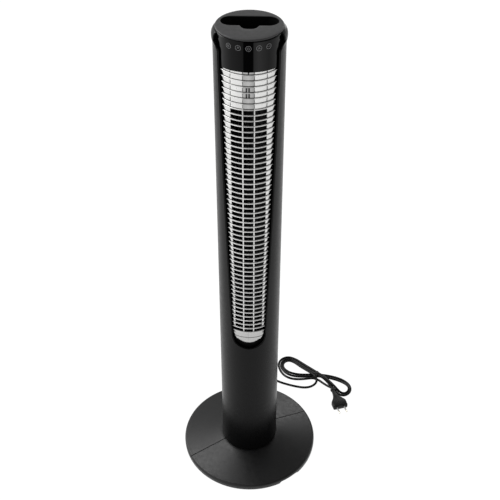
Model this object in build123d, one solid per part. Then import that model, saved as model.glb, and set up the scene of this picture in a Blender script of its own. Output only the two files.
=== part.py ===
from build123d import *
import math
import os

# Tower fan, in millimetres. +Z is up, the floor is z = 0 and the air outlet faces -Y.
# The column turns on its round base about the Z axis. It is drawn part way through its swing,
# so the joint between the two halves of the base lies at SEAM_ANGLE to the X axis.

# Column
HEIGHT = 1080.0
COLUMN_R = 62.8
WALL = 2.4
COLUMN_FOOT = 31.5
SHELL_TOP = 1050.0
COLLAR_TOP = 1072.0
COLLAR_TOP_R = 58.9
EAR_Y = 10.9
INNER_R = COLUMN_R - WALL - 0.3
LUG_HEIGHTS = [130.0, 310.0, 560.0, 800.0, 1020.0]
LUG_Y = 8.0
CHASSIS_Z = 84.0

# Intake slots in the rear shell
SLOT_ROWS = 48
SLOT_FIRST_Z = 430.0
SLOT_PITCH = 12.0
SLOT_H = 6.0
SLOT_SPANS = ((-48.0, -18.0), (-14.0, 14.0), (18.0, 48.0))

# Outlet opening in the front shell
OPENING_LOW = 366.3
CHIN_X = 35.8
CHIN_Z = 385.0
BOW_X = 46.2
BOW_Z = 700.0
SHOULDER_X = 54.4
SHOULDER_Z = 1037.0
FLARE_X = 63.6
FLARE_Z = 1062.0

# Grille
GRILLE_R = 60.0
GRILLE_PLATE_R = 57.8
GRILLE_PLATE_T = 1.4
GRILLE_LOW = 381.5
GRILLE_TOP = 1019.5
GRILLE_LOW_X = 33.0
GRILLE_TAPER = 0.0246
SIDE_STEP = 3.0
FIN_COUNT = 54
FIN_FIRST_Z = 422.8
FIN_PITCH = 11.16
FIN_T = 2.0
WINDOW_X = 32.0
WINDOW_LOW = 416.0
WINDOW_TOP = 948.0
RIB_X = 10.3
RIB_T = 2.0
BLOCK_LOW = 395.0
LENS_LOW = (-5.0, 968.0)
LENS_HIGH = (2.6, 989.5)
FRAME_R = 56.2
FRAME_T = 2.0

# Head
PANEL_R = 59.0
PANEL_T = 2.0
PANEL_LOW = 1021.0
PANEL_TOP = 1075.6
CAP_R = 58.5
CAP_T = 4.0
HEAD_R = 56.8
HEAD_INNER_R = 55.2
HEAD_LOW = 1049.0
SLOT_LENGTH = 101.2
SLOT_WIDTH = 37.0
SLOT_Y = 14.0
NOTCH_X = 16.6
NOTCH_TIP_X = 10.0
NOTCH_Y = -18.0
POCKET_WALL = 1.4
POCKET_FLOOR = 1054.0
KEY_STEP = 17.5
KEY_COUNT = 5
KEY_Z = 1063.8
BOARD_Y = -36.0
BOARD_T = 1.6

# Air path
IMPELLER_R = 38.0
IMPELLER_Y = 4.0
IMPELLER_LOW = 388.0
SEGMENT_COUNT = 6
SEGMENT_H = 97.0
BLADE_COUNT = 26
BLADE_T = 1.2
DISC_T = 3.0
SHAFT_R = 4.0
RUNNING_GAP = 0.06
DUCT_LOW = 374.0
DUCT_TOP = 990.0
DUCT_WALL = 2.0
IMPELLER_TOP = IMPELLER_LOW + SEGMENT_COUNT * SEGMENT_H

# Fan motor
MOTOR_R = 41.0
MOTOR_LOW = 262.0
MOTOR_H = 68.0
MOTOR_PLATE_Z = 252.0
MOTOR_MOUNT_R = 33.0
ROTOR_R = 24.0

# Swing drive
SPINDLE_R = 9.0
SPINDLE_BORE = 6.0
SPINDLE_TOP = 53.0
SPINDLE_LOW = 14.0
TURNTABLE_Z = 33.2
GEAR_Z = 43.0
GEAR_T = 6.0
MODULE = 1.0
GEAR_TEETH = 60
PINION_TEETH = 12
TOOTH_BACKLASH = 0.35
PINION_ANGLE = 135.0
SWING_MOTOR_R = 24.5
SWING_MOTOR_AT = 30.0
SWING_MOTOR_Z = 56.0
GEAR_CENTRES = MODULE * (GEAR_TEETH + PINION_TEETH) / 2

# Base
BASE_R = 155.0
RIM_LOW = 3.0
RIM_EDGE_Z = 10.0
RIM_TOP_Z = 15.4
RIM_TOP_R = 149.5
HUB_R = 68.0
HUB_Z = 30.0
BASE_WALL = 2.8
SEAM_ANGLE = 28.4
FOOT_R = 8.5
FOOT_AT = 137.0
FOOT_COUNT = 6
CUTOUT_FRONT = (-61.3, -42.8)
CUTOUT_REAR = (100.2, 118.7)
CUTOUT_FRONT_Z = 7.0
CUTOUT_REAR_Z = 10.5
SCREW_AT = 32.0

# Mains lead
CORD_R = 3.0
EXIT_ANGLE = 104.0
EXIT_Z = 5.2
RELIEF_START = 146.0
RELIEF_END = 168.0
HANK_H = 12.0
WAIST_LOW = 1.6
WAIST_H = 14.0
WAIST_AT = (170.5, 204.5)
WAIST_ANGLE = -43.0
WAIST_SIZE = (14.0, 20.0)
LEAD_END = (168.4, 190.7, 5.0)
NECK_AT = (208.6, 154.6)
PLUG_ANGLE = -73.0
PLUG_Z = 7.0
PLUG_LENGTH = 62.0
PLUG_HALF_W = 17.6
PLUG_HALF_T = 6.8
PLUG_NECK_W = 4.5
PLUG_SHOULDER = 18.0
NECK_TIE_AT = 3.0
PIN_SPACING = 18.6
PIN_LENGTH = 19.0
PIN_R = 2.0
SLEEVE_LENGTH = 10.0

# The lead lies on the floor from the relief behind the base to the hank's waist.
LEAD_ROUTE = [
    (-43.5, 174.7, 5.2),
    (-38.0, 199.0, 3.6),
    (-20.0, 216.0, 3.0),
    (4.5, 220.5, 3.0),
    (29.0, 210.5, 3.0),
    (49.5, 193.5, 3.0),
    (73.0, 179.5, 3.0),
    (92.0, 172.2, 3.0),
    (112.0, 166.5, 3.0),
    (131.0, 161.9, 3.0),
    (141.6, 162.6, 3.0),
    (151.5, 166.4, 3.0),
    (159.8, 173.0, 3.2),
    (165.5, 181.2, 4.0),
]


def ring(outer, inner, low, high):
    """A plain ring about the Z axis."""
    return Pos(0, 0, low) * extrude(Circle(outer) - Circle(inner), high - low)


def disc(radius, low, high):
    """A plain disc about the Z axis."""
    return Pos(0, 0, low) * extrude(Circle(radius), high - low)


def block(low, high):
    """A box between two corners."""
    size = [b - a for a, b in zip(low, high)]
    centre = [(a + b) / 2 for a, b in zip(low, high)]
    return Pos(*centre) * Box(*size)


def polar(radius, angle, z=0.0):
    """A point at a radius and an angle from +X."""
    turn = math.radians(angle)
    return (radius * math.cos(turn), radius * math.sin(turn), z)


def through_front(face, start=EAR_Y):
    """Push an outline drawn in front view (x, z) out through the front of the column."""
    return extrude(Plane.XZ.offset(start) * face, COLUMN_R + 8 - start)


def front_half(piece):
    return piece & block((-200, -200, -10), (200, 0, HEIGHT + 10))


def rear_half(piece):
    return piece & block((-200, 0, -10), (200, 200, HEIGHT + 10))


# ---------------------------------------------------------------- column shells

def opening_outline():
    """Round chin, slightly bowed sides, and a flare that opens above the control panel."""
    chin = ThreePointArc((-CHIN_X, CHIN_Z), (0, OPENING_LOW), (CHIN_X, CHIN_Z))
    right = ThreePointArc((CHIN_X, CHIN_Z), (BOW_X, BOW_Z), (SHOULDER_X, SHOULDER_Z))
    right_flare = ThreePointArc((SHOULDER_X, SHOULDER_Z), (56.9, 1053.5), (FLARE_X, FLARE_Z))
    top = Polyline(
        (FLARE_X, FLARE_Z), (FLARE_X, HEIGHT + 20), (-FLARE_X, HEIGHT + 20), (-FLARE_X, FLARE_Z)
    )
    left_flare = ThreePointArc((-FLARE_X, FLARE_Z), (-56.9, 1053.5), (-SHOULDER_X, SHOULDER_Z))
    left = ThreePointArc((-SHOULDER_X, SHOULDER_Z), (-BOW_X, BOW_Z), (-CHIN_X, CHIN_Z))
    return make_face([chin, right, right_flare, top, left_flare, left])


def lug(side, z):
    """A screw lug that reaches from the front shell behind the edge of the rear shell."""
    arm = block((52.0, -4.0, z - 6), (58.3, 14.0, z + 6))
    root = block((57.5, -4.0, z - 6), (61.5, -0.3, z + 6))
    screw_hole = Pos(57, LUG_Y, z) * Rot(0, 90, 0) * Cylinder(1.5, 12)
    piece = arm + root - screw_hole
    return piece if side > 0 else mirror(piece, about=Plane.YZ)


def front_shell():
    wall = front_half(ring(COLUMN_R, COLUMN_R - WALL, COLUMN_FOOT, SHELL_TOP))
    wall -= through_front(opening_outline())
    for z in LUG_HEIGHTS:
        wall += lug(1, z)
        wall += lug(-1, z)
    return wall


def rear_shell():
    """The back half of the column, with three columns of intake slots."""
    wall = rear_half(ring(COLUMN_R, COLUMN_R - WALL, COLUMN_FOOT, SHELL_TOP))
    slots = []
    for row in range(SLOT_ROWS):
        low = SLOT_FIRST_Z + row * SLOT_PITCH
        for left, right in SLOT_SPANS:
            slots.append(block((left, 30.0, low), (right, 70.0, low + SLOT_H)))
    wall -= slots
    holes = []
    for z in LUG_HEIGHTS:
        for side in (-1, 1):
            holes.append(Pos(side * 60, LUG_Y, z) * Rot(0, 90, 0) * Cylinder(1.6, 10))
            holes.append(Pos(side * 63.2, LUG_Y, z) * Rot(0, 90, 0) * Cylinder(3.2, 4))
    return wall - holes


def shell_screws():
    screws = []
    for z in LUG_HEIGHTS:
        for side in (-1, 1):
            shank = Pos(side * 57.3, LUG_Y, z) * Rot(0, 90, 0) * Cylinder(1.45, 8)
            head = Pos(side * 61.7, LUG_Y, z) * Rot(0, 90, 0) * Cylinder(3.0, 0.9)
            screws.append(shank + head)
    return screws


def top_collar():
    """The shoulder that closes the shells behind the head and ends in an ear on each side."""
    lean = COLUMN_R - COLLAR_TOP_R
    outside = ThreePointArc(
        (COLUMN_R, SHELL_TOP),
        (COLUMN_R - 0.34 * lean, SHELL_TOP + 13.0),
        (COLLAR_TOP_R, COLLAR_TOP),
    )
    inside = Polyline(
        (COLLAR_TOP_R, COLLAR_TOP),
        (COLLAR_TOP_R - 1.6, COLLAR_TOP),
        (COLUMN_R - WALL - 1.0, SHELL_TOP + 10.0),
        (COLUMN_R - WALL, SHELL_TOP),
        (COLUMN_R, SHELL_TOP),
    )
    profile = Plane.XZ * make_face([outside, inside])
    collar = revolve(profile, Axis.Z)
    return collar - through_front(opening_outline())


# ---------------------------------------------------------------- outlet and grille

def grille_outline(inset=0.0):
    """The silver insert in front view: tapered, with a rounded chin."""
    low_x = GRILLE_LOW_X + GRILLE_TAPER * (BLOCK_LOW - 410) - inset
    top_x = GRILLE_LOW_X + GRILLE_TAPER * (GRILLE_TOP - 410) - inset
    chin = ThreePointArc((-low_x, BLOCK_LOW), (0, GRILLE_LOW), (low_x, BLOCK_LOW))
    rest = Polyline(
        (low_x, BLOCK_LOW), (top_x, GRILLE_TOP), (-top_x, GRILLE_TOP), (-low_x, BLOCK_LOW)
    )
    return make_face([chin, rest])


def windows(margin=0.0):
    """The three columns of openings between the grille's ribs."""
    edge = RIB_X - RIB_T / 2
    spans = ((-WINDOW_X, -RIB_X - RIB_T / 2), (-edge, edge), (RIB_X + RIB_T / 2, WINDOW_X))
    return [
        block((a - margin, -70, WINDOW_LOW - margin), (b + margin, -20, WINDOW_TOP + margin))
        for a, b in spans
    ]


def outlet_grille():
    """One moulding: a curved plate with windows, its level fins, and the block at the bottom."""
    plate = ring(GRILLE_PLATE_R, GRILLE_PLATE_R - GRILLE_PLATE_T, GRILLE_LOW, GRILLE_TOP)
    plate &= through_front(grille_outline(SIDE_STEP), 20)
    plate -= windows()
    plate -= block((LENS_LOW[0], -70, LENS_LOW[1]), (LENS_HIGH[0], -20, LENS_HIGH[1]))
    chin = ring(GRILLE_R, GRILLE_PLATE_R - 0.6, GRILLE_LOW, WINDOW_LOW - 0.5)
    chin &= through_front(grille_outline(), 20)
    fins = []
    for i in range(FIN_COUNT):
        z = FIN_FIRST_Z + i * FIN_PITCH
        half = GRILLE_LOW_X + GRILLE_TAPER * (z - 410)
        fin = ring(GRILLE_R, GRILLE_PLATE_R - 0.8, z - FIN_T / 2, z + FIN_T / 2)
        fins.append(fin & block((-half, -70, z - 5), (half, -20, z + 5)))
    return plate + chin + fins


def indicator_lens():
    lens = ring(GRILLE_PLATE_R - 0.9, GRILLE_PLATE_R - 1.9, LENS_LOW[1], LENS_HIGH[1])
    return lens & block((LENS_LOW[0], -70, LENS_LOW[1]), (LENS_HIGH[0], -20, LENS_HIGH[1]))


def outlet_frame():
    """The dark duct mouth behind the grille, which also forms the floor of the recess round it."""
    frame = ring(FRAME_R, FRAME_R - FRAME_T, 360.0, 1048.0)
    frame &= block((-54, -70, 300), (54, -14, 1060))
    mouth = block((-33.5, -70, WINDOW_LOW - 2), (33.5, -10, WINDOW_TOP + 2))
    lens_seat = block((-7, -70, LENS_LOW[1] - 2), (4.6, -20, LENS_HIGH[1] + 2))
    return frame - mouth - lens_seat


def scroll_wall():
    path = Spline((-31.5, -40.5), (-43.5, -17), (-45.5, 6), (-40, 28), (-26, 44.5))
    return Pos(0, 0, DUCT_LOW + 4) * extrude(trace(path, DUCT_WALL), DUCT_TOP - DUCT_LOW - 4)


def vortex_wall():
    path = Spline((32, -41), (38.5, -28), (35.2, -15.5))
    return Pos(0, 0, DUCT_LOW + 4) * extrude(trace(path, DUCT_WALL), DUCT_TOP - DUCT_LOW - 4)


def duct_plate(low, bore):
    """A plate that closes the air path, narrow in front to pass behind the outlet frame."""
    plate = disc(FRAME_R - FRAME_T - 0.3, low, low + 4)
    wide = disc(INNER_R, low, low + 4) & block((-70, 16, low), (70, 70, low + 4))
    return plate + wide - Pos(0, IMPELLER_Y, low) * Cylinder(bore, 20)


def duct_floor():
    return duct_plate(DUCT_LOW, 12.0)


def upper_bearing_bracket():
    return duct_plate(DUCT_TOP, 8.0)


def upper_bearing():
    bush = ring(8.0, SHAFT_R + RUNNING_GAP, DUCT_TOP - 2, DUCT_TOP + 6)
    return Pos(0, IMPELLER_Y, 0) * bush


# ---------------------------------------------------------------- impeller and motor

def blade():
    """One blade, curved forward, at the edge of a segment."""
    arc = ThreePointArc((30.2, -2.6), (33.6, -0.3), (37.2, 3.4))
    return extrude(trace(arc, BLADE_T), SEGMENT_H - DISC_T + 0.5)


def impeller_segments():
    segment = disc(IMPELLER_R, 0, DISC_T)
    one = Pos(0, 0, DISC_T - 0.5) * blade()
    segment += [Rot(0, 0, i * 360 / BLADE_COUNT) * one for i in range(BLADE_COUNT)]
    stack = []
    for i in range(SEGMENT_COUNT):
        stack.append(Pos(0, IMPELLER_Y, IMPELLER_LOW + i * SEGMENT_H) * segment)
    return stack


def impeller_end_disc():
    """The top disc, with the stub shaft that runs in the upper bearing."""
    stub_low = IMPELLER_TOP + DISC_T
    end = disc(IMPELLER_R, IMPELLER_TOP, stub_low)
    end += disc(9.0, stub_low, stub_low + 6)
    end += disc(SHAFT_R, stub_low, DUCT_TOP + 8)
    return Pos(0, IMPELLER_Y, 0) * end


def motor_shaft():
    """The motor's shaft with the clamp hub that carries the lowest segment."""
    shaft = disc(SHAFT_R, MOTOR_LOW - 4, IMPELLER_LOW)
    shaft += disc(10.0, IMPELLER_LOW - 8, IMPELLER_LOW)
    return Pos(0, IMPELLER_Y, 0) * shaft


def motor_rotor():
    rotor = ring(ROTOR_R, SHAFT_R, MOTOR_LOW + 12, MOTOR_LOW + MOTOR_H - 12)
    return Pos(0, IMPELLER_Y, 0) * rotor


def motor_stator():
    stator = ring(MOTOR_R - 7.3, ROTOR_R + 0.7, MOTOR_LOW + 12, MOTOR_LOW + MOTOR_H - 12)
    return Pos(0, IMPELLER_Y, 0) * stator


def mount_points(z):
    return [
        Pos(0, IMPELLER_Y, 0) * Pos(*polar(MOTOR_MOUNT_R, 45 + 90 * i, z)) for i in range(4)
    ]


def motor_can():
    """A hollow can with a bearing bore at each end and four threaded feet."""
    top = MOTOR_LOW + MOTOR_H
    can = disc(MOTOR_R, MOTOR_LOW, top)
    can += disc(14.0, top, top + 5)
    can -= disc(MOTOR_R - 7, MOTOR_LOW + 10, top - 4)
    can -= disc(SHAFT_R + RUNNING_GAP, MOTOR_LOW - 5, top + 10)
    can = Pos(0, IMPELLER_Y, 0) * can
    return can - [place * Cylinder(2.0, 14) for place in mount_points(MOTOR_LOW)]


def motor_bracket():
    plate = disc(INNER_R, MOTOR_PLATE_Z, MOTOR_PLATE_Z + 3)
    plate -= Pos(0, IMPELLER_Y, MOTOR_PLATE_Z) * Cylinder(10, 20)
    return plate - [place * Cylinder(2.0, 12) for place in mount_points(MOTOR_PLATE_Z)]


def motor_grommets():
    grommet = ring(6.0, 2.0, MOTOR_PLATE_Z + 3, MOTOR_LOW)
    return [place * grommet for place in mount_points(0)]


def motor_screws():
    screw = disc(4.2, MOTOR_PLATE_Z - 3, MOTOR_PLATE_Z) + disc(1.95, MOTOR_PLATE_Z, MOTOR_LOW + 6)
    return [place * screw for place in mount_points(0)]


# ---------------------------------------------------------------- head

def slot_outline(margin=0.0):
    """The remote control's slot seen from above, with a finger notch in its front edge."""
    slot = Pos(0, SLOT_Y) * SlotOverall(SLOT_LENGTH + 2 * margin, SLOT_WIDTH + 2 * margin)
    front = SLOT_Y - SLOT_WIDTH / 2
    notch = make_face(Polyline(
        (-NOTCH_X - margin, front + 4),
        (-NOTCH_X - margin, front),
        (-NOTCH_TIP_X - margin, NOTCH_Y - margin),
        (NOTCH_TIP_X + margin, NOTCH_Y - margin),
        (NOTCH_X + margin, front),
        (NOTCH_X + margin, front + 4),
        (-NOTCH_X - margin, front + 4),
    ))
    return slot + notch


def top_cap():
    """A flat lid with an eased edge, a skirt inside the head, and the slot for the remote."""
    lid_low = HEIGHT - CAP_T
    lid = disc(CAP_R, lid_low, HEIGHT)
    lid = chamfer(lid.edges().group_by(Axis.Z)[-1], 1.0)
    lid += ring(HEAD_R - 0.3, HEAD_INNER_R, lid_low - 5, lid_low)
    return lid - Pos(0, 0, lid_low - 1) * extrude(slot_outline(), CAP_T + 2)


def remote_pocket():
    lid_low = HEIGHT - CAP_T
    tray = Pos(0, 0, POCKET_FLOOR) * extrude(slot_outline(POCKET_WALL), lid_low - POCKET_FLOOR)
    hollow = Pos(0, 0, POCKET_FLOOR + POCKET_WALL) * extrude(slot_outline(), 40)
    return tray - hollow


def panel_outline():
    right = ThreePointArc((48.5, 1040.0), (50.9, 1056.0), (58.4, 1062.5))
    left = ThreePointArc((-58.4, 1062.5), (-50.9, 1056.0), (-48.5, 1040.0))
    top = Polyline(
        (58.4, 1062.5), (60, 1062.5), (60, 1090), (-60, 1090), (-60, 1062.5), (-58.4, 1062.5)
    )
    bottom = Polyline((-48.5, 1040.0), (-48.0, PANEL_LOW), (48.0, PANEL_LOW), (48.5, 1040.0))
    return make_face([right, top, left, bottom])


def control_panel():
    panel = ring(PANEL_R, PANEL_R - PANEL_T, PANEL_LOW, PANEL_TOP)
    return panel & through_front(panel_outline(), EAR_Y + 0.4)


def head_frame():
    """The ring that carries the cap, open in front for the touch circuit."""
    frame = ring(HEAD_R, HEAD_INNER_R, HEAD_LOW, COLLAR_TOP - 1.5)
    return frame - block((-47, -70, HEAD_LOW - 1), (47, 0, HEIGHT))


def key_angles():
    middle = (KEY_COUNT - 1) / 2
    return [(i - middle) * KEY_STEP for i in range(KEY_COUNT)]


def touch_circuit_board():
    return block((-36, BOARD_Y - BOARD_T, 1050.5), (36, BOARD_Y, 1074.0))


def touch_springs():
    """A coil spring, drawn as its sleeve, from the board to the panel behind each key."""
    springs = []
    for angle in key_angles():
        turn = math.radians(angle)
        x = (PANEL_R - PANEL_T) * math.sin(turn)
        panel_y = -math.sqrt((PANEL_R - PANEL_T - 0.3) ** 2 - (abs(x) + 3) ** 2)
        length = BOARD_Y - BOARD_T - panel_y
        place = Pos(x, BOARD_Y - BOARD_T - length / 2, KEY_Z) * Rot(90, 0, 0)
        springs.append(place * (Cylinder(3.0, length) - Cylinder(2.2, length)))
    return springs


# ---------------------------------------------------------------- electrics in the lower column

def chassis_plate():
    return disc(INNER_R, CHASSIS_Z, CHASSIS_Z + 3)


def main_circuit_board():
    board = block((-34, 20, CHASSIS_Z + 3), (34, 21.6, CHASSIS_Z + 98))
    relay = block((-28, 4, CHASSIS_Z + 60), (-10, 20, CHASSIS_Z + 76))
    transformer = block((4, -4, CHASSIS_Z + 56), (30, 20, CHASSIS_Z + 82))
    choke = Pos(-16, 13, CHASSIS_Z + 34) * Rot(90, 0, 0) * Cylinder(8, 14)
    return board + relay + transformer + choke


def terminal_block():
    return block((-18, -34, CHASSIS_Z + 3), (18, -20, CHASSIS_Z + 19))


def run_capacitor():
    can = block((8, -14, CHASSIS_Z + 3), (44, 2, CHASSIS_Z + 31))
    return fillet(can.edges().filter_by(Axis.Z), 3)


# ---------------------------------------------------------------- swing drive

def gear_outline(teeth, turn):
    """Straight-flanked teeth, thinned for backlash, with the first tooth at an angle."""
    pitch_r = MODULE * teeth / 2
    tip_r = pitch_r + 0.85 * MODULE
    root_r = pitch_r - 1.2 * MODULE
    half = (math.pi * MODULE / 2 - TOOTH_BACKLASH) / 2
    slope = math.tan(math.radians(20))
    points = []
    for i in range(teeth):
        middle = math.radians(turn) + 2 * math.pi * i / teeth
        for radius, side in ((root_r, -1), (tip_r, -1), (tip_r, 1), (root_r, 1)):
            width = half + (pitch_r - radius) * slope
            angle = middle + side * width / radius
            points.append((radius * math.cos(angle), radius * math.sin(angle)))
    points.append(points[0])
    return make_face(Polyline(*points))


def swivel_gear():
    """The fixed ring gear. It has a gap, not a tooth, facing the pinion."""
    turn = PINION_ANGLE + 180 / GEAR_TEETH
    gear = extrude(gear_outline(GEAR_TEETH, turn), GEAR_T)
    return Pos(0, 0, GEAR_Z) * gear - disc(SPINDLE_R, 0, 100)


def drive_pinion():
    """The pinion on the swing motor's shaft, with a tooth facing the ring gear."""
    gear = extrude(gear_outline(PINION_TEETH, PINION_ANGLE + 180), GEAR_T + 2)
    shaft = Pos(0, 0, GEAR_T + 2) * extrude(Circle(2.5), SWING_MOTOR_Z - GEAR_Z - GEAR_T - 1.3)
    return Pos(*polar(GEAR_CENTRES, PINION_ANGLE, GEAR_Z - 1)) * (gear + shaft)


def swing_motor():
    body = Pos(*polar(SWING_MOTOR_AT, PINION_ANGLE)) * disc(
        SWING_MOTOR_R, SWING_MOTOR_Z, SWING_MOTOR_Z + 18)
    bore = Pos(*polar(GEAR_CENTRES, PINION_ANGLE, SWING_MOTOR_Z)) * Cylinder(2.9, 4)
    return body - bore - swing_screw_holes(2.0)


def swing_screw_places():
    """Each side of the motor, on a line square to the arm that carries the pinion."""
    along = polar(22.0, PINION_ANGLE)
    side = polar(18.0, PINION_ANGLE + 90)
    return [Pos(along[0] + s * side[0], along[1] + s * side[1], 0) for s in (-1, 1)]


def swing_screw_holes(radius):
    return [place * disc(radius, SWING_MOTOR_Z - 8, SWING_MOTOR_Z + 8) for place in swing_screw_places()]


def swing_motor_bracket():
    """A bridge over the ring gear that carries the swing motor."""
    centre = Pos(*polar(SWING_MOTOR_AT, PINION_ANGLE)) * Rot(0, 0, PINION_ANGLE + 90)
    bridge = centre * block((-41, -14, 53.6), (41, 12, SWING_MOTOR_Z))
    legs = [centre * block((s * 38 - 3, -10, TURNTABLE_Z + 3.5), (s * 38 + 3, 8, 53.6)) for s in (-1, 1)]
    bore = Pos(*polar(GEAR_CENTRES, PINION_ANGLE, 54)) * Cylinder(7.5, 10)
    return bridge + legs - bore - swing_screw_holes(2.0)


def swing_motor_screws():
    screw = disc(3.2, 51.4, 53.6) + disc(1.95, 53.6, SWING_MOTOR_Z + 7)
    return [place * screw for place in swing_screw_places()]


def bottom_plate():
    """The turntable plate that closes the column and turns on the spindle."""
    plate = disc(INNER_R, TURNTABLE_Z, TURNTABLE_Z + 3.5)
    plate += disc(15.0, TURNTABLE_Z, GEAR_Z - 0.8)
    return plate - disc(SPINDLE_R + RUNNING_GAP, 0, 100)


def swivel_washer():
    return ring(38.0, 20.0, HUB_Z + 2.5, TURNTABLE_Z)


def swivel_spindle():
    """The hollow spindle, with the flange that stands on the base."""
    spindle = disc(SPINDLE_R, SPINDLE_LOW, SPINDLE_TOP) + disc(40.0, HUB_Z, HUB_Z + 2.5)
    spindle -= disc(SPINDLE_BORE, 0, 100)
    return spindle - base_screw_holes()


def swivel_retainer():
    return ring(14.0, SPINDLE_R, GEAR_Z + GEAR_T, GEAR_Z + GEAR_T + 2.5)


# ---------------------------------------------------------------- base

def base_screw_places():
    return [Pos(*polar(SCREW_AT, SEAM_ANGLE + 45 + 90 * i)) for i in range(4)]


def base_screw_holes():
    return [place * disc(2.0, 0, 60) for place in base_screw_places()]


def base_half(start):
    """Half of the shallow cone, hollow underneath, with bosses for the feet and screws."""
    edge = ThreePointArc((RIM_TOP_R, RIM_TOP_Z), (153.5, 13.3), (BASE_R, RIM_EDGE_Z))
    top = Polyline((16, HUB_Z), (HUB_R, HUB_Z), (RIM_TOP_R, RIM_TOP_Z))
    inside = Polyline(
        (BASE_R, RIM_EDGE_Z),
        (BASE_R, RIM_LOW),
        (BASE_R - BASE_WALL, RIM_LOW),
        (BASE_R - BASE_WALL, RIM_EDGE_Z - 0.5),
        (RIM_TOP_R - 1.5, RIM_TOP_Z - BASE_WALL),
        (HUB_R, HUB_Z - BASE_WALL),
        (16, HUB_Z - BASE_WALL),
        (16, HUB_Z),
    )
    skin = Rot(0, 0, start) * revolve(Plane.XZ * make_face([edge, top, inside]), Axis.Z, 180)
    cone_z = RIM_TOP_Z + (HUB_Z - RIM_TOP_Z) * (RIM_TOP_R - FOOT_AT) / (RIM_TOP_R - HUB_R)
    for i in range(FOOT_COUNT // 2):
        angle = start + 30 + 60 * i
        skin += Pos(*polar(FOOT_AT, angle)) * disc(FOOT_R + 1.5, RIM_LOW, cone_z - 2)
    skin -= base_screw_holes()
    return skin


def rim_cutout(span, height):
    """A wedge that clears the bottom edge of the rim between two angles."""
    low, high = span
    wedge = make_face(Polyline(
        polar(120, low), polar(170, low), polar(170, high), polar(120, high), polar(120, low)))
    return extrude(wedge, height)


def base_front_half():
    return base_half(SEAM_ANGLE + 180) - rim_cutout(CUTOUT_FRONT, CUTOUT_FRONT_Z)


def base_rear_half():
    return base_half(SEAM_ANGLE) - rim_cutout(CUTOUT_REAR, CUTOUT_REAR_Z)


def base_feet():
    pad = disc(FOOT_R, 0, RIM_LOW)
    return [Pos(*polar(FOOT_AT, SEAM_ANGLE + 30 + 60 * i)) * pad for i in range(FOOT_COUNT)]


def base_clamp_plate():
    """The steel plate under the seam that ties the two halves together."""
    top = HUB_Z - BASE_WALL
    return ring(56.0, 16.0, top - 2.5, top) - base_screw_holes()


def base_screws():
    head_top = HUB_Z - BASE_WALL - 2.5
    screw = disc(3.8, head_top - 2.6, head_top) + disc(1.95, head_top, HUB_Z + 2.5)
    return [place * screw for place in base_screw_places()]


def base_lock_nut():
    """The winged nut that pulls the spindle down on the base."""
    top = HUB_Z - BASE_WALL - 2.5
    nut = disc(20.0, SPINDLE_LOW + 1, top)
    for i in range(4):
        wing = block((17, -2.5, SPINDLE_LOW + 1), (25, 2.5, top))
        nut += Rot(0, 0, SEAM_ANGLE + 90 * i) * wing
    return nut - disc(SPINDLE_R, 0, 100)


# ---------------------------------------------------------------- mains lead

def route_radii(points):
    """The largest arc at each corner that its two runs allow."""
    radii = []
    for before, here, after in zip(points, points[1:], points[2:]):
        arriving = Vector(*here) - Vector(*before)
        leaving = Vector(*after) - Vector(*here)
        turn = math.radians(arriving.get_angle(leaving))
        shorter = min(arriving.length, leaving.length)
        radii.append(0.45 * shorter / math.tan(turn / 2))
    return radii


def tube(points):
    """A round tube along straight runs joined by tangent arcs."""
    path = FilletPolyline(*points, radius=route_radii(points))
    section = Plane(origin=path @ 0, z_dir=path % 0) * Circle(CORD_R)
    return sweep(section, path), path.length


def lead_points():
    return [polar(RELIEF_START, EXIT_ANGLE, EXIT_Z)] + LEAD_ROUTE + [LEAD_END]


def power_cord():
    points = lead_points()
    piece, length = tube(points)
    ratio = piece.volume / (math.pi * CORD_R ** 2 * length)
    print("lead: length", round(length, 1), "volume / section x length", round(ratio, 4))
    print("lead: arc radii", [round(radius, 1) for radius in route_radii(points)])
    return piece


def inner_lead():
    """The lead inside the base, which turns up the spindle's bore to the chassis plate."""
    side = polar(12.0, EXIT_ANGLE, EXIT_Z)
    path = Polyline(polar(RELIEF_START, EXIT_ANGLE, EXIT_Z), side)
    up = TangentArc([side, (0, 0, EXIT_Z + 12.0)], tangent=path % 1)
    riser = Line((0, 0, EXIT_Z + 12.0), (0, 0, CHASSIS_Z))
    section = Plane(origin=path @ 0, z_dir=path % 0) * Circle(CORD_R)
    return sweep(section, Wire([path.edge(), up.edge(), riser.edge()]))


def cord_strain_relief():
    """A tapered sleeve at the rim of the base."""
    length = RELIEF_END - RELIEF_START - 2
    sleeve = Cone(4.4, 3.6, length, align=(Align.CENTER, Align.CENTER, Align.MIN))
    collar = Cylinder(5.0, 3, align=(Align.CENTER, Align.CENTER, Align.MIN))
    bore = Cylinder(CORD_R + 0.15, 3 * length)
    out = Vector(*polar(1, EXIT_ANGLE))
    start = Vector(*polar(RELIEF_START + 2, EXIT_ANGLE, EXIT_Z))
    place = Plane(origin=start, z_dir=out)
    return place * (sleeve + collar - bore)


def closed_curve(*points):
    return make_face(Spline(*points, periodic=True))


def hank_outline():
    """Two loose loops of the wound lead, seen from above."""
    left = closed_curve(
        (160, 199), (165, 213), (134, 252), (98, 271), (73, 245), (78, 209), (104, 190), (134, 192))
    left_eye = closed_curve(
        (149, 209), (120, 243), (95, 256), (85, 243), (93, 222), (118, 208))
    right = closed_curve(
        (173, 210), (200, 204), (236, 187), (250, 160), (240, 136), (218, 138), (188, 172), (174, 194))
    right_eye = closed_curve(
        (196, 194), (221, 183), (236, 163), (231, 149), (214, 159), (190, 187))
    return left - left_eye + right - right_eye


def waist_place(z):
    return Pos(WAIST_AT[0], WAIST_AT[1], z) * Rot(0, 0, WAIST_ANGLE)


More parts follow.
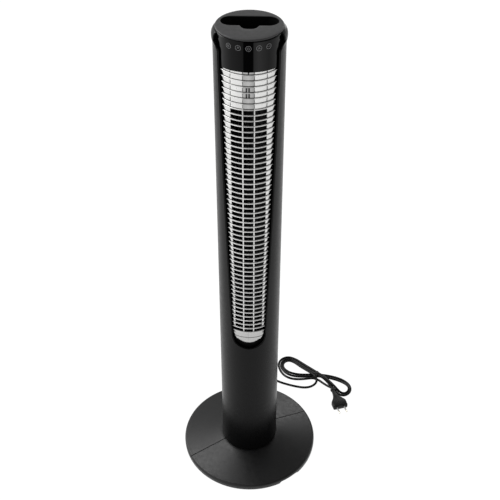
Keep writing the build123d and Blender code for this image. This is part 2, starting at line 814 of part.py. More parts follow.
def cord_hank():
    """The outer shape of the wound part of the lead, gathered at the waist by its tie."""
    loops = extrude(hank_outline(), HANK_H)
    clear = waist_place(HANK_H / 2) * Box(8, 60, HANK_H + 2)
    waist = waist_place(WAIST_LOW + WAIST_H / 2) * Box(*WAIST_SIZE, WAIST_H)
    neck = Plane(origin=(*NECK_AT, PLUG_Z), z_dir=Vector(*polar(1, PLUG_ANGLE)))
    beyond_neck = neck * Box(60, 60, 200, align=(Align.CENTER, Align.CENTER, Align.MIN))
    tail_start = Vector(*NECK_AT, PLUG_Z) - neck.z_dir * 9
    tail = Plane(origin=tail_start, z_dir=neck.z_dir) * Cylinder(
        CORD_R, 9, align=(Align.CENTER, Align.CENTER, Align.MIN))
    return (loops - clear - beyond_neck) + waist + tail


def cord_ties():
    """A flat tie round the waist of the hank, and one round the neck of the plug."""
    width, height = WAIST_SIZE[1], WAIST_H
    outer = Box(5.5, width + 3.0, height + 3.0)
    inner = Box(10, width + 0.1, height + 0.1)
    waist_tie = waist_place(WAIST_LOW + WAIST_H / 2) * (outer - inner)
    band = Box(14.0, 12.4, 4.0) - Box(2 * PLUG_NECK_W + 2.0, 2 * PLUG_NECK_W + 1.0, 10)
    neck_tie = plug_place() * (Pos(0, 0, NECK_TIE_AT) * band)
    return [waist_tie, neck_tie]


def plug_place():
    """The plug's own frame: +X across the pins, +Z along them, origin at the end of its neck."""
    return Plane(
        origin=(*NECK_AT, PLUG_Z),
        x_dir=Vector(*polar(1, PLUG_ANGLE + 90)),
        z_dir=Vector(*polar(1, PLUG_ANGLE)),
    )


def plug_body():
    """A flat two-pin plug: a waisted grip that widens to a six-sided face."""
    shoulder = PLUG_LENGTH - PLUG_SHOULDER
    right = ThreePointArc((PLUG_NECK_W, 0), (6.8, 24), (PLUG_HALF_W, shoulder))
    left = ThreePointArc((-PLUG_HALF_W, shoulder), (-6.8, 24), (-PLUG_NECK_W, 0))
    end = Polyline(
        (PLUG_HALF_W, shoulder),
        (PLUG_HALF_W, PLUG_LENGTH - 5),
        (PLUG_HALF_W - 4, PLUG_LENGTH),
        (4 - PLUG_HALF_W, PLUG_LENGTH),
        (-PLUG_HALF_W, PLUG_LENGTH - 5),
        (-PLUG_HALF_W, shoulder),
    )
    neck = Line((-PLUG_NECK_W, 0), (PLUG_NECK_W, 0))
    flat = Plane.XZ.offset(-PLUG_HALF_T) * make_face([right, end, left, neck])
    body = extrude(flat, 2 * PLUG_HALF_T)
    side = Plane.YZ.offset(-40) * make_face(Polyline(
        (-4.2, 0), (-PLUG_HALF_T, 34), (-PLUG_HALF_T, PLUG_LENGTH), (PLUG_HALF_T, PLUG_LENGTH),
        (PLUG_HALF_T, 34), (4.2, 0), (-4.2, 0)))
    return plug_place() * (body & extrude(side, 80))


def pin_pair(piece):
    return [plug_place() * (Pos(s * PIN_SPACING / 2, 0, PLUG_LENGTH) * piece) for s in (-1, 1)]


def plug_pins():
    tip_length = PIN_LENGTH - SLEEVE_LENGTH
    tip = Pos(0, 0, SLEEVE_LENGTH + tip_length / 2) * Cylinder(PIN_R, tip_length)
    tip = chamfer(tip.edges().group_by(Axis.Z)[-1], 0.7)
    return pin_pair(tip)


def plug_pin_sleeves():
    return pin_pair(Pos(0, 0, SLEEVE_LENGTH / 2) * Cylinder(PIN_R - 0.1, SLEEVE_LENGTH))


# ---------------------------------------------------------------- write one file per piece

PIECES = [
    base_front_half, base_rear_half, base_feet, base_clamp_plate, base_screws, base_lock_nut,
    swivel_spindle, swivel_gear, swivel_retainer, swivel_washer,
    inner_lead, cord_strain_relief, power_cord, cord_hank, cord_ties,
    plug_body, plug_pins, plug_pin_sleeves,
    front_shell, rear_shell, shell_screws, top_collar, bottom_plate,
    outlet_frame, outlet_grille, indicator_lens, scroll_wall, vortex_wall, duct_floor,
    upper_bearing_bracket, upper_bearing,
    motor_bracket, motor_grommets, motor_screws, motor_can, motor_stator,
    head_frame, top_cap, remote_pocket, control_panel, touch_circuit_board, touch_springs,
    chassis_plate, main_circuit_board, terminal_block, run_capacitor,
    swing_motor, swing_motor_bracket, swing_motor_screws,
    drive_pinion,
    impeller_segments, impeller_end_disc, motor_shaft, motor_rotor,
]

os.makedirs("parts", exist_ok=True)
for make in PIECES:
    piece = make()
    if isinstance(piece, list):
        piece = Compound(children=[Part(item.wrapped) for item in piece])
    export_step(piece, os.path.join("parts", make.__name__ + ".step"))
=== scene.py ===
"""A tower fan: its looks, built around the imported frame. Metres, +Z up, the floor is z = 0."""
import math

import bmesh
import bpy
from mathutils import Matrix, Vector


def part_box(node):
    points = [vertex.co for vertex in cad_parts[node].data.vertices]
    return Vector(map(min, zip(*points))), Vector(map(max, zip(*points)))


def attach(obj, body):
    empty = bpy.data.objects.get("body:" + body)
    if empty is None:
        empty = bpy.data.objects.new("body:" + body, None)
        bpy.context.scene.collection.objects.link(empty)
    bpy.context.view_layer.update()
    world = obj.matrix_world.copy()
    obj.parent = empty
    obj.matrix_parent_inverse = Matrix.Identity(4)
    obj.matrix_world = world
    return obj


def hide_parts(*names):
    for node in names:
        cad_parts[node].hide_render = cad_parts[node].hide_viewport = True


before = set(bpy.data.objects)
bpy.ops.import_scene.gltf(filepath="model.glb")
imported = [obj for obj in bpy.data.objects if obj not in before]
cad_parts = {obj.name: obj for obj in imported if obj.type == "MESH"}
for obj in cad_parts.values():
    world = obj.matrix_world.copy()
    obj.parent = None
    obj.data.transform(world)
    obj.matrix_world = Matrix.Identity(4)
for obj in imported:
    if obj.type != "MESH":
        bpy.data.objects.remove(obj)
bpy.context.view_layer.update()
MM = 0.001

# Column; the frame gives its height
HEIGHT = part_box("top_cap")[1].z
COLUMN_R = 62.8 * MM
WALL = 2.4 * MM
COLUMN_FOOT = 31.5 * MM
SHELL_TOP = 1050 * MM
COLLAR_TOP = 1072 * MM
EAR_Y = 10.9 * MM

# Outlet opening
OPENING_LOW = 366.3 * MM
CHIN_X = 35.8 * MM
CHIN_Z = 385 * MM
BOW = (46.2 * MM, 700 * MM)
SHOULDER = (54.4 * MM, 1037 * MM)
FLARE_MID = (56.9 * MM, 1053.5 * MM)
FLARE_END = (63.6 * MM, 1062 * MM)

# Grille
GRILLE_R = 60 * MM
PLATE_R = 57.8 * MM
FIN_COUNT = 54
FIN_FIRST_Z = 422.8 * MM
FIN_PITCH = 11.16 * MM
FIN_T = 2 * MM
WINDOW_X = 32 * MM
WINDOW_LOW = 416 * MM
WINDOW_TOP = 948 * MM
RIB_X = 10.3 * MM
GRILLE_LOW = 381.5 * MM
GRILLE_TOP = 1019.5 * MM
GRILLE_LOW_X = 33 * MM
GRILLE_TAPER = 0.0246

# Head
PANEL_R = 59 * MM
PANEL_T = 2 * MM
PANEL_LOW = 1021 * MM
PANEL_TOP = 1075.6 * MM
PANEL_FLARE_LOW = 1040 * MM
PANEL_SAG_TOP = 1038 * MM
KEY_STEP = 17.5
KEY_COUNT = 5
KEY_Z = 1063.8 * MM
CAP_R = 58.5 * MM
CAP_T = 4 * MM
CAP_MIDDLE_Y = 4 * MM
SLOT_LENGTH = 101.2 * MM
SLOT_WIDTH = 37 * MM
SLOT_Y = 14 * MM
NOTCH_X = 16.6 * MM
NOTCH_Y = -18 * MM

# Base
SEAM_ANGLE = 28.4

# Mains lead
CORD_R = 3 * MM
EXIT_ANGLE = 104.0
EXIT_R = 146 * MM
EXIT_Z = 5.2 * MM
PLUG_ANGLE = -73.0
NECK_AT = (208.6 * MM, 154.6 * MM, 7 * MM)


def polar(radius, angle, z=0.0):
    turn = math.radians(angle)
    return (radius * math.cos(turn), radius * math.sin(turn), z)


# ---- mesh helpers

def add_object(name, data):
    piece = bpy.data.objects.new(name, data)
    bpy.context.collection.objects.link(piece)
    return piece


class Soup:
    """Grids of points that become one welded mesh."""

    def __init__(self):
        self.points = []
        self.faces = []

    def grid(self, rows, close_columns=False, close_rows=False):
        start = len(self.points)
        width = len(rows[0])
        for row in rows:
            self.points += row
        for r in range(len(rows) - (0 if close_rows else 1)):
            for c in range(width - (0 if close_columns else 1)):
                a = start + r * width + c
                b = start + r * width + (c + 1) % width
                over = start + (r + 1) % len(rows) * width
                self.faces.append((a, b, over + (c + 1) % width, over + c))

    def cap(self, loop):
        start = len(self.points)
        self.points += loop
        self.faces.append(tuple(range(start, start + len(loop))))

    def sweep(self, rings):
        """A closed profile carried through rings, with both ends closed."""
        self.grid(rings, close_columns=True)
        self.cap(rings[0])
        self.cap(rings[-1])

    def shell(self, outer, inner):
        """Two skins of the same grid, joined along all four edges."""
        self.grid(outer)
        self.grid(inner)
        for end in (0, -1):
            self.grid([outer[end], inner[end]])
        for end in (0, -1):
            self.grid([[row[end] for row in outer], [row[end] for row in inner]])

    def build(self, name, sharp=35.0):
        mesh = bpy.data.meshes.new(name)
        mesh.from_pydata([tuple(point) for point in self.points], [], self.faces)
        work = bmesh.new()
        work.from_mesh(mesh)
        bmesh.ops.remove_doubles(work, verts=work.verts, dist=2e-6)
        bmesh.ops.dissolve_degenerate(work, edges=work.edges, dist=1e-6)
        bmesh.ops.recalc_face_normals(work, faces=work.faces)
        work.to_mesh(mesh)
        work.free()
        mesh.shade_smooth()
        mesh.set_sharp_from_angle(angle=math.radians(sharp))
        return add_object(name, mesh)


def add_piece(piece, slot, body, *nodes):
    """Give a piece its finish and its body, and hide the nodes it stands for."""
    piece.data.materials.clear()
    piece.data.materials.append(FINISHES[slot])
    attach(piece, body)
    if nodes:
        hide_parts(*nodes)
    return piece


def bent(radius, angle, z):
    """A point on the column: angle 0 faces the outlet and +90 is +X, in degrees."""
    turn = math.radians(angle)
    return Vector((radius * math.sin(turn), -radius * math.cos(turn), z))


def steps(count):
    return [i / count for i in range(count + 1)]


def arc_points(start, middle, end, count):
    """Points along the circle through three points of a plane."""
    (ax, ay), (bx, by), (cx, cy) = start, middle, end
    cross = 2 * (ax * (by - cy) + bx * (cy - ay) + cx * (ay - by))
    sa, sb, sc = ax * ax + ay * ay, bx * bx + by * by, cx * cx + cy * cy
    ox = (sa * (by - cy) + sb * (cy - ay) + sc * (ay - by)) / cross
    oy = (sa * (cx - bx) + sb * (ax - cx) + sc * (bx - ax)) / cross
    radius = math.hypot(ax - ox, ay - oy)
    first = math.atan2(ay - oy, ax - ox)
    last = math.atan2(cy - oy, cx - ox)
    if cross > 0 and last < first:
        last += 2 * math.pi
    if cross < 0 and last > first:
        last -= 2 * math.pi
    turns = [first + (last - first) * t for t in steps(count)]
    return [(ox + radius * math.cos(turn), oy + radius * math.sin(turn)) for turn in turns]


def join_round(first, second, reach):
    """Two runs of points that meet at a corner, joined by a curve that starts this far from it."""
    corner = first[-1]
    before = [q for q in first if math.dist(q, corner) > reach]
    after = [q for q in second if math.dist(q, corner) > reach]
    a, b = before[-1], after[0]
    bend = [tuple((1 - t) ** 2 * p + 2 * t * (1 - t) * c + t * t * q for p, c, q in zip(a, corner, b))
            for t in steps(8)[1:-1]]
    return before + bend + after


def quarter(radius, count=4):
    """(across, down) steps round a convex edge, from the flat to the side."""
    turns = [t * math.pi / 2 for t in steps(count)]
    return [(radius * math.sin(turn), radius * (1 - math.cos(turn))) for turn in turns]


def rounded_box(x0, x1, y0, y1, radius, count=4):
    """A rounded rectangle as a loop of (x, y)."""
    loop = []
    for cx, cy, start in ((x1 - radius, y1 - radius, 0), (x0 + radius, y1 - radius, 90),
                          (x0 + radius, y0 + radius, 180), (x1 - radius, y0 + radius, 270)):
        for t in steps(count):
            turn = math.radians(start + 90 * t)
            loop.append((cx + radius * math.cos(turn), cy + radius * math.sin(turn)))
    return loop


def bent_bar(soup, radial, height, low_angle, high_angle, round_by, pieces=None):
    """A bar bent round the column: (inner, outer) radius, (low, high) z, between two angles."""
    profile = rounded_box(*radial, *height, round_by, 2)
    count = pieces or max(2, int(abs(high_angle - low_angle) / 3))
    rings = []
    for t in steps(count):
        angle = low_angle + (high_angle - low_angle) * t
        rings.append([bent(radius, angle, z) for radius, z in profile])
    soup.sweep(rings)


def angle_at(radius, x):
    return math.degrees(math.asin(max(-1.0, min(1.0, x / radius))))


# ---- materials

# slot: colour, roughness, metallic, specular level, coat, grain size and depth in mm, colour spread
SLOTS = {
    "base_satin": ((0.0045, 0.0045, 0.0047), 0.34, 0.0, 0.34, 0.0, 0.45, 0.010, 0.12),
    "shell_black": ((0.0020, 0.0020, 0.0021), 0.30, 0.0, 0.11, 0.0, 0.40, 0.006, 0.12),
    "cap_satin": ((0.018, 0.018, 0.0185), 0.50, 0.0, 0.42, 0.0, 0.35, 0.014, 0.10),
    "panel_gloss": ((0.0006, 0.0006, 0.0007), 0.07, 0.0, 0.01, 0.5, 3.0, 0.002, 0.10),
    "grille_silver": ((0.78, 0.78, 0.77), 0.30, 0.60, 0.50, 0.0, 0.12, 0.004, 0.05),
    "smoked_lens": ((0.012, 0.011, 0.011), 0.08, 0.0, 0.50, 0.2, 2.0, 0.002, 0.10),
    "black_moulding": ((0.0015, 0.0015, 0.0015), 0.55, 0.0, 0.06, 0.0, 0.50, 0.015, 0.15),
    "impeller_black": ((0.0030, 0.0030, 0.0032), 0.50, 0.0, 0.15, 0.0, 0.60, 0.010, 0.15),
    "foot_rubber": ((0.010, 0.010, 0.010), 0.82, 0.0, 0.25, 0.0, 0.50, 0.030, 0.20),
    "zinc_steel": ((0.55, 0.56, 0.58), 0.32, 1.0, 0.50, 0.0, 1.20, 0.006, 0.10),
    "black_screw": ((0.015, 0.015, 0.016), 0.35, 0.6, 0.50, 0.0, 0.30, 0.010, 0.20),
    "nylon": ((0.66, 0.63, 0.56), 0.45, 0.0, 0.45, 0.0, 0.80, 0.010, 0.06),
    "bearing_bronze": ((0.42, 0.24, 0.11), 0.40, 1.0, 0.50, 0.0, 0.25, 0.012, 0.20),
    "copper_winding": ((0.55, 0.22, 0.08), 0.32, 0.9, 0.50, 0.3, 0.50, 0.080, 0.15),
    "circuit_board": ((0.012, 0.085, 0.035), 0.38, 0.0, 0.50, 0.2, 1.50, 0.020, 0.35),
    "terminal_white": ((0.62, 0.61, 0.58), 0.42, 0.0, 0.45, 0.0, 0.70, 0.012, 0.06),
    "cord_pvc": ((0.0012, 0.0012, 0.0012), 0.20, 0.0, 0.17, 0.0, 1.20, 0.020, 0.15),
    "plug_pvc": ((0.0020, 0.0020, 0.0020), 0.38, 0.0, 0.20, 0.0, 0.45, 0.025, 0.15),
    "tie_plastic": ((0.003, 0.003, 0.003), 0.30, 0.0, 0.25, 0.0, 0.60, 0.020, 0.15),
    "nickel": ((0.68, 0.65, 0.58), 0.22, 1.0, 0.50, 0.0, 0.60, 0.004, 0.08),
    "pin_sleeve": ((0.36, 0.37, 0.37), 0.42, 0.0, 0.45, 0.0, 0.50, 0.010, 0.08),
}
# how a slot's grain is stretched along x, y and z
STRETCHED = {
    "grille_silver": (1, 1, 14), "zinc_steel": (1, 1, 6), "nickel": (8, 8, 1), "copper_winding": (1, 1, 12),
}
FINISHES = {}


def link(tree, out_node, out_name, in_node, in_name):
    tree.links.new(out_node.outputs[out_name], in_node.inputs[in_name])


def noise_node(tree, place, size_mm, detail=3.0):
    node = tree.nodes.new("ShaderNodeTexNoise")
    node.inputs["Scale"].default_value = 1 / (size_mm * MM)
    node.inputs["Detail"].default_value = detail
    tree.links.new(place, node.inputs["Vector"])
    return node


def remap(tree, source, span, low=0.0, high=1.0, smooth=False):
    """A socket that goes from low to high as the source goes over the span."""
    node = tree.nodes.new("ShaderNodeMapRange")
    if smooth:
        node.interpolation_type = "SMOOTHSTEP"
    node.inputs["From Min"].default_value = span[0]
    node.inputs["From Max"].default_value = span[1]
    node.inputs["To Min"].default_value = low
    node.inputs["To Max"].default_value = high
    tree.links.new(source, node.inputs["Value"])
    return node.outputs["Result"]


def ranged(tree, noise, low, high):
    """A noise's useful middle, spread from low to high."""
    return remap(tree, noise, (0.3, 0.7), low, high)


def multiplied(tree, factor, base, level):
    """The base colour times the level, as far as the factor says."""
    node = tree.nodes.new("ShaderNodeMix")
    node.data_type = "RGBA"
    node.blend_type = "MULTIPLY"
    if factor is None:
        node.inputs["Factor"].default_value = 1.0
    else:
        tree.links.new(factor, node.inputs["Factor"])
    tree.links.new(base, node.inputs["A"])
    tree.links.new(level, node.inputs["B"])
    return node.outputs["Result"]


def blend_colours(tree, share, dark, light):
    node = tree.nodes.new("ShaderNodeMix")
    node.data_type = "RGBA"
    node.inputs["A"].default_value = (*dark, 1)
    node.inputs["B"].default_value = (*light, 1)
    tree.links.new(share, node.inputs["Factor"])
    return node


def board_pattern(tree, place):
    """Copper tracks under green lacquer."""
    tracks = tree.nodes.new("ShaderNodeTexBrick")
    tracks.inputs["Scale"].default_value = 140
    tracks.inputs["Mortar Size"].default_value = 0.025
    tracks.inputs["Color1"].default_value = (0.010, 0.075, 0.030, 1)
    tracks.inputs["Color2"].default_value = (0.014, 0.100, 0.042, 1)
    tracks.inputs["Mortar"].default_value = (0.030, 0.170, 0.070, 1)
    tree.links.new(place, tracks.inputs["Vector"])
    return tracks.outputs["Color"]


def spangle_pattern(tree, place):
    """The crystals of a zinc coat."""
    cells = tree.nodes.new("ShaderNodeTexVoronoi")
    cells.inputs["Scale"].default_value = 220
    tree.links.new(place, cells.inputs["Vector"])
    mixed = blend_colours(tree, cells.outputs["Distance"], (0.48, 0.49, 0.51), (0.62, 0.63, 0.65))
    return mixed.outputs["Result"]


# A level for each place across the outlet, in mm from its middle. The dark middle stands in for a
# reflection: it is painted on, so it stays in place when the view turns.
ACROSS = {
    "grille_silver": ((-60, 0.92), (-34, 1.0), (-11.2, 0.92), (-9.6, 0.48), (0, 0.62), (9.4, 0.42),
                      (11.0, 1.0), (60, 0.9)),
    "panel_gloss": ((-58, 0.62), (-46, 0.52), (-30, 0.30), (-9.5, 0.20), (-8.0, 0.0), (7.4, 0.0),
                    (9.5, 0.42), (17, 0.58), (34, 0.28), (58, 0.42)),
}
ACROSS_REACH = 60
# Heights in m over which the painted reflection fades in on the grille.
REFLECTION_BAND_RISE = (0.80, 0.96)
# Painted shade at the grille's foot: the heights in m below which its colour is darkened, and the level it
# is darkened to.
FOOT_SHADE_RISE = (0.408, 0.420)
FOOT_SHADE_LEVEL = 0.62


def across_level(tree, place, marks):
    """The place's height, and the level for how far across it is."""
    split = tree.nodes.new("ShaderNodeSeparateXYZ")
    tree.links.new(place, split.inputs["Vector"])
    spread = remap(tree, split.outputs["X"], (-ACROSS_REACH * MM, ACROSS_REACH * MM))
    ramp = tree.nodes.new("ShaderNodeValToRGB")
    stops = ramp.color_ramp.elements
    for number, (at, level) in enumerate(marks):
        share = (at + ACROSS_REACH) / (2 * ACROSS_REACH)
        stop = stops[number] if number < 2 else stops.new(share)
        stop.position = share
        stop.color = (level, level, level, 1)
    tree.links.new(spread, ramp.inputs["Fac"])
    return split.outputs["Z"], ramp.outputs["Color"]


def new_material(name):
    material = bpy.data.materials.new(name)
    material.use_nodes = True
    return material, material.node_tree, material.node_tree.nodes["Principled BSDF"]


def make_finish(slot):
    colour, rough, metal, specular, coat, grain, depth, spread = SLOTS[slot]
    material, tree, shader = new_material(slot + "_finish")
    shader.inputs["Metallic"].default_value = metal
    shader.inputs["Specular IOR Level"].default_value = specular
    shader.inputs["Coat Weight"].default_value = coat
    shader.inputs["Coat Roughness"].default_value = 0.05
    place = tree.nodes.new("ShaderNodeTexCoord").outputs["Object"]
    mapping = tree.nodes.new("ShaderNodeMapping")
    mapping.inputs["Scale"].default_value = STRETCHED.get(slot, (1, 1, 1))
    tree.links.new(place, mapping.inputs["Vector"])
    fine = noise_node(tree, mapping.outputs["Vector"], grain)
    cloud = noise_node(tree, place, 45.0, 4.0)
    smudge = noise_node(tree, place, 9.0, 5.0)
    smudged = ranged(tree, smudge.outputs["Fac"], rough * 0.88, rough * 1.14)
    tree.links.new(smudged, shader.inputs["Roughness"])
    if slot == "circuit_board":
        tree.links.new(board_pattern(tree, place), shader.inputs["Base Color"])
    elif slot == "zinc_steel":
        tree.links.new(spangle_pattern(tree, place), shader.inputs["Base Color"])
    else:
        dark = [value * (1 - spread) for value in colour]
        light = [min(1.0, value * (1 + spread)) for value in colour]
        share = ranged(tree, cloud.outputs["Fac"], 0.0, 1.0)
        link(tree, blend_colours(tree, share, dark, light), "Result", shader, "Base Color")
    if slot in ACROSS:
        height, level = across_level(tree, place, ACROSS[slot])
    if slot == "grille_silver":
        # Painted reflection on the grille: from about 0.8 m up, its colour is multiplied by the level
        # across the outlet.
        base = shader.inputs["Base Color"].links[0].from_socket
        reflection_banded = multiplied(tree, remap(tree, height, REFLECTION_BAND_RISE), base, level)
        # Painted shade: the colour is darkened at the grille's foot, below about 0.41 m.
        foot_shaded = multiplied(tree, None, reflection_banded, remap(tree, height, FOOT_SHADE_RISE, FOOT_SHADE_LEVEL))
        tree.links.new(foot_shaded, shader.inputs["Base Color"])
    elif slot == "panel_gloss":
        # Painted reflection on the panel: its coat weight follows the level across it, with no coat in the
        # middle.
        tree.links.new(level, shader.inputs["Coat Weight"])
    bump = tree.nodes.new("ShaderNodeBump")
    bump.inputs["Strength"].default_value = 0.7
    bump.inputs["Distance"].default_value = depth * MM
    link(tree, fine, "Fac", bump, "Height")
    link(tree, bump, "Normal", shader, "Normal")
    return material


def make_print():
    """Pale grey pad-printed ink."""
    material, tree, shader = new_material("print_ink")
    shader.inputs["Roughness"].default_value = 0.5
    speck = noise_node(tree, tree.nodes.new("ShaderNodeTexCoord").outputs["Object"], 0.6)
    share = ranged(tree, speck.outputs["Fac"], 0, 1)
    mixed = blend_colours(tree, share, (0.13, 0.13, 0.135), (0.20, 0.20, 0.205))
    link(tree, mixed, "Result", shader, "Base Color")
    return material


for slot_name in SLOTS:
    FINISHES[slot_name] = make_finish(slot_name)


# bevel on the CAD nodes that show, in mm
EASED = {
    "rear_shell": 0.35, "base_feet": 0.6, "remote_pocket": 0.3, "outlet_frame": 0.3, "shell_screws": 0.25,
    "plug_pins": 0.4, "motor_can": 0.8, "run_capacitor": 0.5, "swing_motor": 0.6, "bottom_plate": 0.4,
    "terminal_block": 0.6, "base_screws": 0.3, "base_clamp_plate": 0.3,
}


def dress_frame():
    """Every carried-over CAD node takes its finish; the nodes in EASED also get softer edges."""
    for name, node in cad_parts.items():
        for place in node.material_slots:
            place.material = FINISHES[place.material.name.split(".")[0]]
        if name in EASED:
            weld = node.modifiers.new("weld", "WELD")
            weld.merge_threshold = 1e-5
            bevel = node.modifiers.new("eased_edges", "BEVEL")
            bevel.width = EASED[name] * MM
            bevel.segments = 2
            bevel.limit_method = "ANGLE"
            bevel.angle_limit = math.radians(40)
            bevel.harden_normals = True


# ---- camera, floor and light

CAMERA_AT = (0.0425, -1.4321, 1.7508)
CAMERA_TILT = 50.928
CAMERA_TURN = 1.7
CAMERA_LENS = 65.28


def add_camera():
    data = bpy.data.cameras.new("camera")
    data.lens = CAMERA_LENS
    data.sensor_width = 36
    data.shift_x = 0.001
    data.clip_end = 20
    camera = add_object("camera", data)
    camera.location = CAMERA_AT
    camera.rotation_euler = (math.radians(CAMERA_TILT), 0, math.radians(CAMERA_TURN))
    bpy.context.scene.camera = camera


def add_area(name, place, target, size, power):
    data = bpy.data.lights.new(name, "AREA")
    data.shape = "RECTANGLE"
    data.size, data.size_y = size
    data.energy = power
    light = add_object(name, data)
    light.location = place
    aim = Vector(target) - Vector(place)
    light.rotation_euler = aim.to_track_quat("-Z", "Y").to_euler()


SKY_LEFT = 1.5
SKY_RIGHT = 0.26
SKY_SIDES = (-1.0, 0.35)
HORIZON = (0.10, 0.30)
FLOOR_GLOW = 1.0
FLOOR_EDGE = 12


def add_stage():
    """A sky that is bright on the left and white near the horizon, over a self-lit white floor."""
    world = bpy.data.worlds.new("studio")
    world.use_nodes = True
    tree = world.node_tree
    background = tree.nodes["Background"]
    background.inputs["Color"].default_value = (1, 1, 1, 1)
    direction = tree.nodes.new("ShaderNodeTexCoord")
    split = tree.nodes.new("ShaderNodeSeparateXYZ")
    link(tree, direction, "Generated", split, "Vector")
    sides = remap(tree, split.outputs["X"], SKY_SIDES, SKY_LEFT, SKY_RIGHT, smooth=True)
    height = remap(tree, split.outputs["Z"], HORIZON, smooth=True)
    sky = tree.nodes.new("ShaderNodeMix")
    sky.inputs["A"].default_value = 1.0
    tree.links.new(height, sky.inputs["Factor"])
    tree.links.new(sides, sky.inputs["B"])
    link(tree, sky, "Result", background, "Strength")
    bpy.context.scene.world = world
    bpy.context.scene.view_settings.view_transform = "Standard"
    mesh = bpy.data.meshes.new("floor")
    corners = [(x * FLOOR_EDGE, y * FLOOR_EDGE, 0) for x, y in ((-1, -1), (1, -1), (1, 1), (-1, 1))]
    mesh.from_pydata(corners, [], [(0, 1, 2, 3)])
    floor = add_object("floor", mesh)
    material, _, shader = new_material("floor_white")
    shader.inputs["Base Color"].default_value = (0.06, 0.06, 0.06, 1)
    shader.inputs["Roughness"].default_value = 0.9
    shader.inputs["Specular IOR Level"].default_value = 0.0
    shader.inputs["Emission Color"].default_value = (1, 1, 1, 1)
    shader.inputs["Emission Strength"].default_value = FLOOR_GLOW
    mesh.materials.append(material)


def add_lights():
    add_area("left_softbox", (-2.4, 0.9, 1.3), (0, 0, 0.4), (1.6, 2.2), 18)
    add_area("overhead_left", (-1.05, 0.75, 2.1), (-0.12, -0.05, 0), (1.0, 1.0), 19)
    add_area("rear_right", (0.50, 1.75, 1.25), (0.08, 0.07, 0.03), (0.6, 0.6), 5.5)
    add_area("right_softbox", (2.4, 1.2, 1.6), (0, 0, 0.5), (0.9, 1.8), 6)


# ---- mains lead

LEAD_ROUTE = [
    (-43.5, 174.7, 5.2), (-38.0, 199.0, 3.6), (-20.0, 216.0, 3.0), (4.5, 220.5, 3.0),
    (29.0, 210.5, 3.0), (49.5, 193.5, 3.0), (73.0, 179.0, 3.0), (92.0, 171.8, 3.0),
    (112.0, 165.8, 3.0), (131.0, 162.0, 3.0), (145.0, 162.6, 3.0), (157.0, 167.5, 3.2),
    (167.5, 177.0, 4.8), (169.5, 190.0, 8.0),
]
LEFT_OUTER = [
    (168.5, 212, 9.2), (153, 227.5, 6.4), (136, 244.5, 3), (115.5, 262.5, 3), (95, 270.5, 3),
    (77.5, 262, 3), (69, 243.5, 3), (73, 221.5, 3), (85, 201.5, 3), (103, 191.5, 3),
    (123, 190, 3), (142, 192.5, 3), (160, 196, 3),
]
LEFT_INNER = [
    (160, 203.5, 9.2), (144.5, 219, 6.4), (127.5, 235.5, 3), (111.5, 251, 3), (97.5, 257.5, 3),
    (85, 251.5, 3), (80.5, 238.5, 3), (85, 225.5, 3), (96.5, 215, 3), (111, 209.5, 3),
    (126, 207, 3), (142, 207, 3), (160, 208, 3),
]
RIGHT_OUTER = [
    (180, 208, 3), (199, 205, 3), (219.5, 199.5, 3), (238, 190, 3), (251.5, 177, 3),
    (256, 161.5, 3), (251.5, 146.5, 3), (239.5, 137.5, 3), (226.5, 139, 3), (218, 151, 3),
    (209.5, 163, 3.6), (198, 177.5, 6), (186, 192, 9),
]
RIGHT_INNER = [
    (179, 201.5, 3), (196, 198.5, 3), (214, 193.5, 3), (231.5, 185.5, 3.4), (245, 174, 5.6),
    (251, 162, 7.6), (249, 150, 6.4), (240, 143.8, 3.8), (229.5, 147, 3), (221.5, 156, 4.6),
    (212.5, 167, 7.8), (201, 181, 8.6), (189.5, 195, 9.4),
]
TAIL = [(174, 189.5, 3), (186, 177.5, 3), (198, 167, 4.4), (205.6, 160.5, 6.6)]
LEFT_SHARES = (0.0, 0.44, 1.0)


def mix(a, b, share):
    return [p + (q - p) * share for p, q in zip(a, b)]


def cord_route():
    """The lead on the floor, three turns on the left and two on the right, and the tail to the plug."""
    left = [[mix(a, b, share) for a, b in zip(LEFT_INNER, LEFT_OUTER)] for share in LEFT_SHARES]
    right = [RIGHT_OUTER, RIGHT_INNER]
    route = list(LEAD_ROUTE)
    for turn in range(3):
        route += left[turn]
        route += right[turn] if turn < 2 else TAIL
    route = [tuple(value * MM for value in point) for point in route]
    return [polar(EXIT_R, EXIT_ANGLE, EXIT_Z)] + route + [NECK_AT]


def add_cord():
    curve = bpy.data.curves.new("mains_lead", "CURVE")
    curve.dimensions = "3D"
    curve.bevel_depth = CORD_R
    curve.bevel_resolution = 5
    curve.resolution_u = 10
    curve.use_fill_caps = True
    spline = curve.splines.new("NURBS")
    points = cord_route()
    spline.points.add(len(points) - 1)
    for target, point in zip(spline.points, points):
        target.co = (*point, 1)
    spline.order_u = 3
    spline.use_endpoint_u = True
    return add_object("mains_lead", curve)


# ---- column

LIP = 0.9 * MM
PROUD = 1.1 * MM


def opening_edge():
    """The right half of the opening's edge as (x, z), from the middle of the chin to the flare."""
    chin = arc_points((-CHIN_X, CHIN_Z), (0, OPENING_LOW), (CHIN_X, CHIN_Z), 48)[24:]
    side = arc_points((CHIN_X, CHIN_Z), BOW, SHOULDER, 90)
    flare = arc_points(SHOULDER, FLARE_MID, FLARE_END, 16)
    return join_round(join_round(chin, side, 9 * MM), flare, 6 * MM)


def edge_normals(run):
    """Unit vectors square to a run of (x, z), pointing away from the opening."""
    normals = []
    for i in range(len(run)):
        before, after = run[max(0, i - 1)], run[min(len(run) - 1, i + 1)]
        dx, dz = after[0] - before[0], after[1] - before[1]
        size = math.hypot(dx, dz)
        normals.append((dz / size, -dx / size))
    normals[0] = (0.0, -1.0)
    return normals


def seam_drop(angle):
    """How far the skin rounds in at the seam with the rear shell."""
    return 0.8 * PROUD if abs(angle) > 89.9 else 0.0


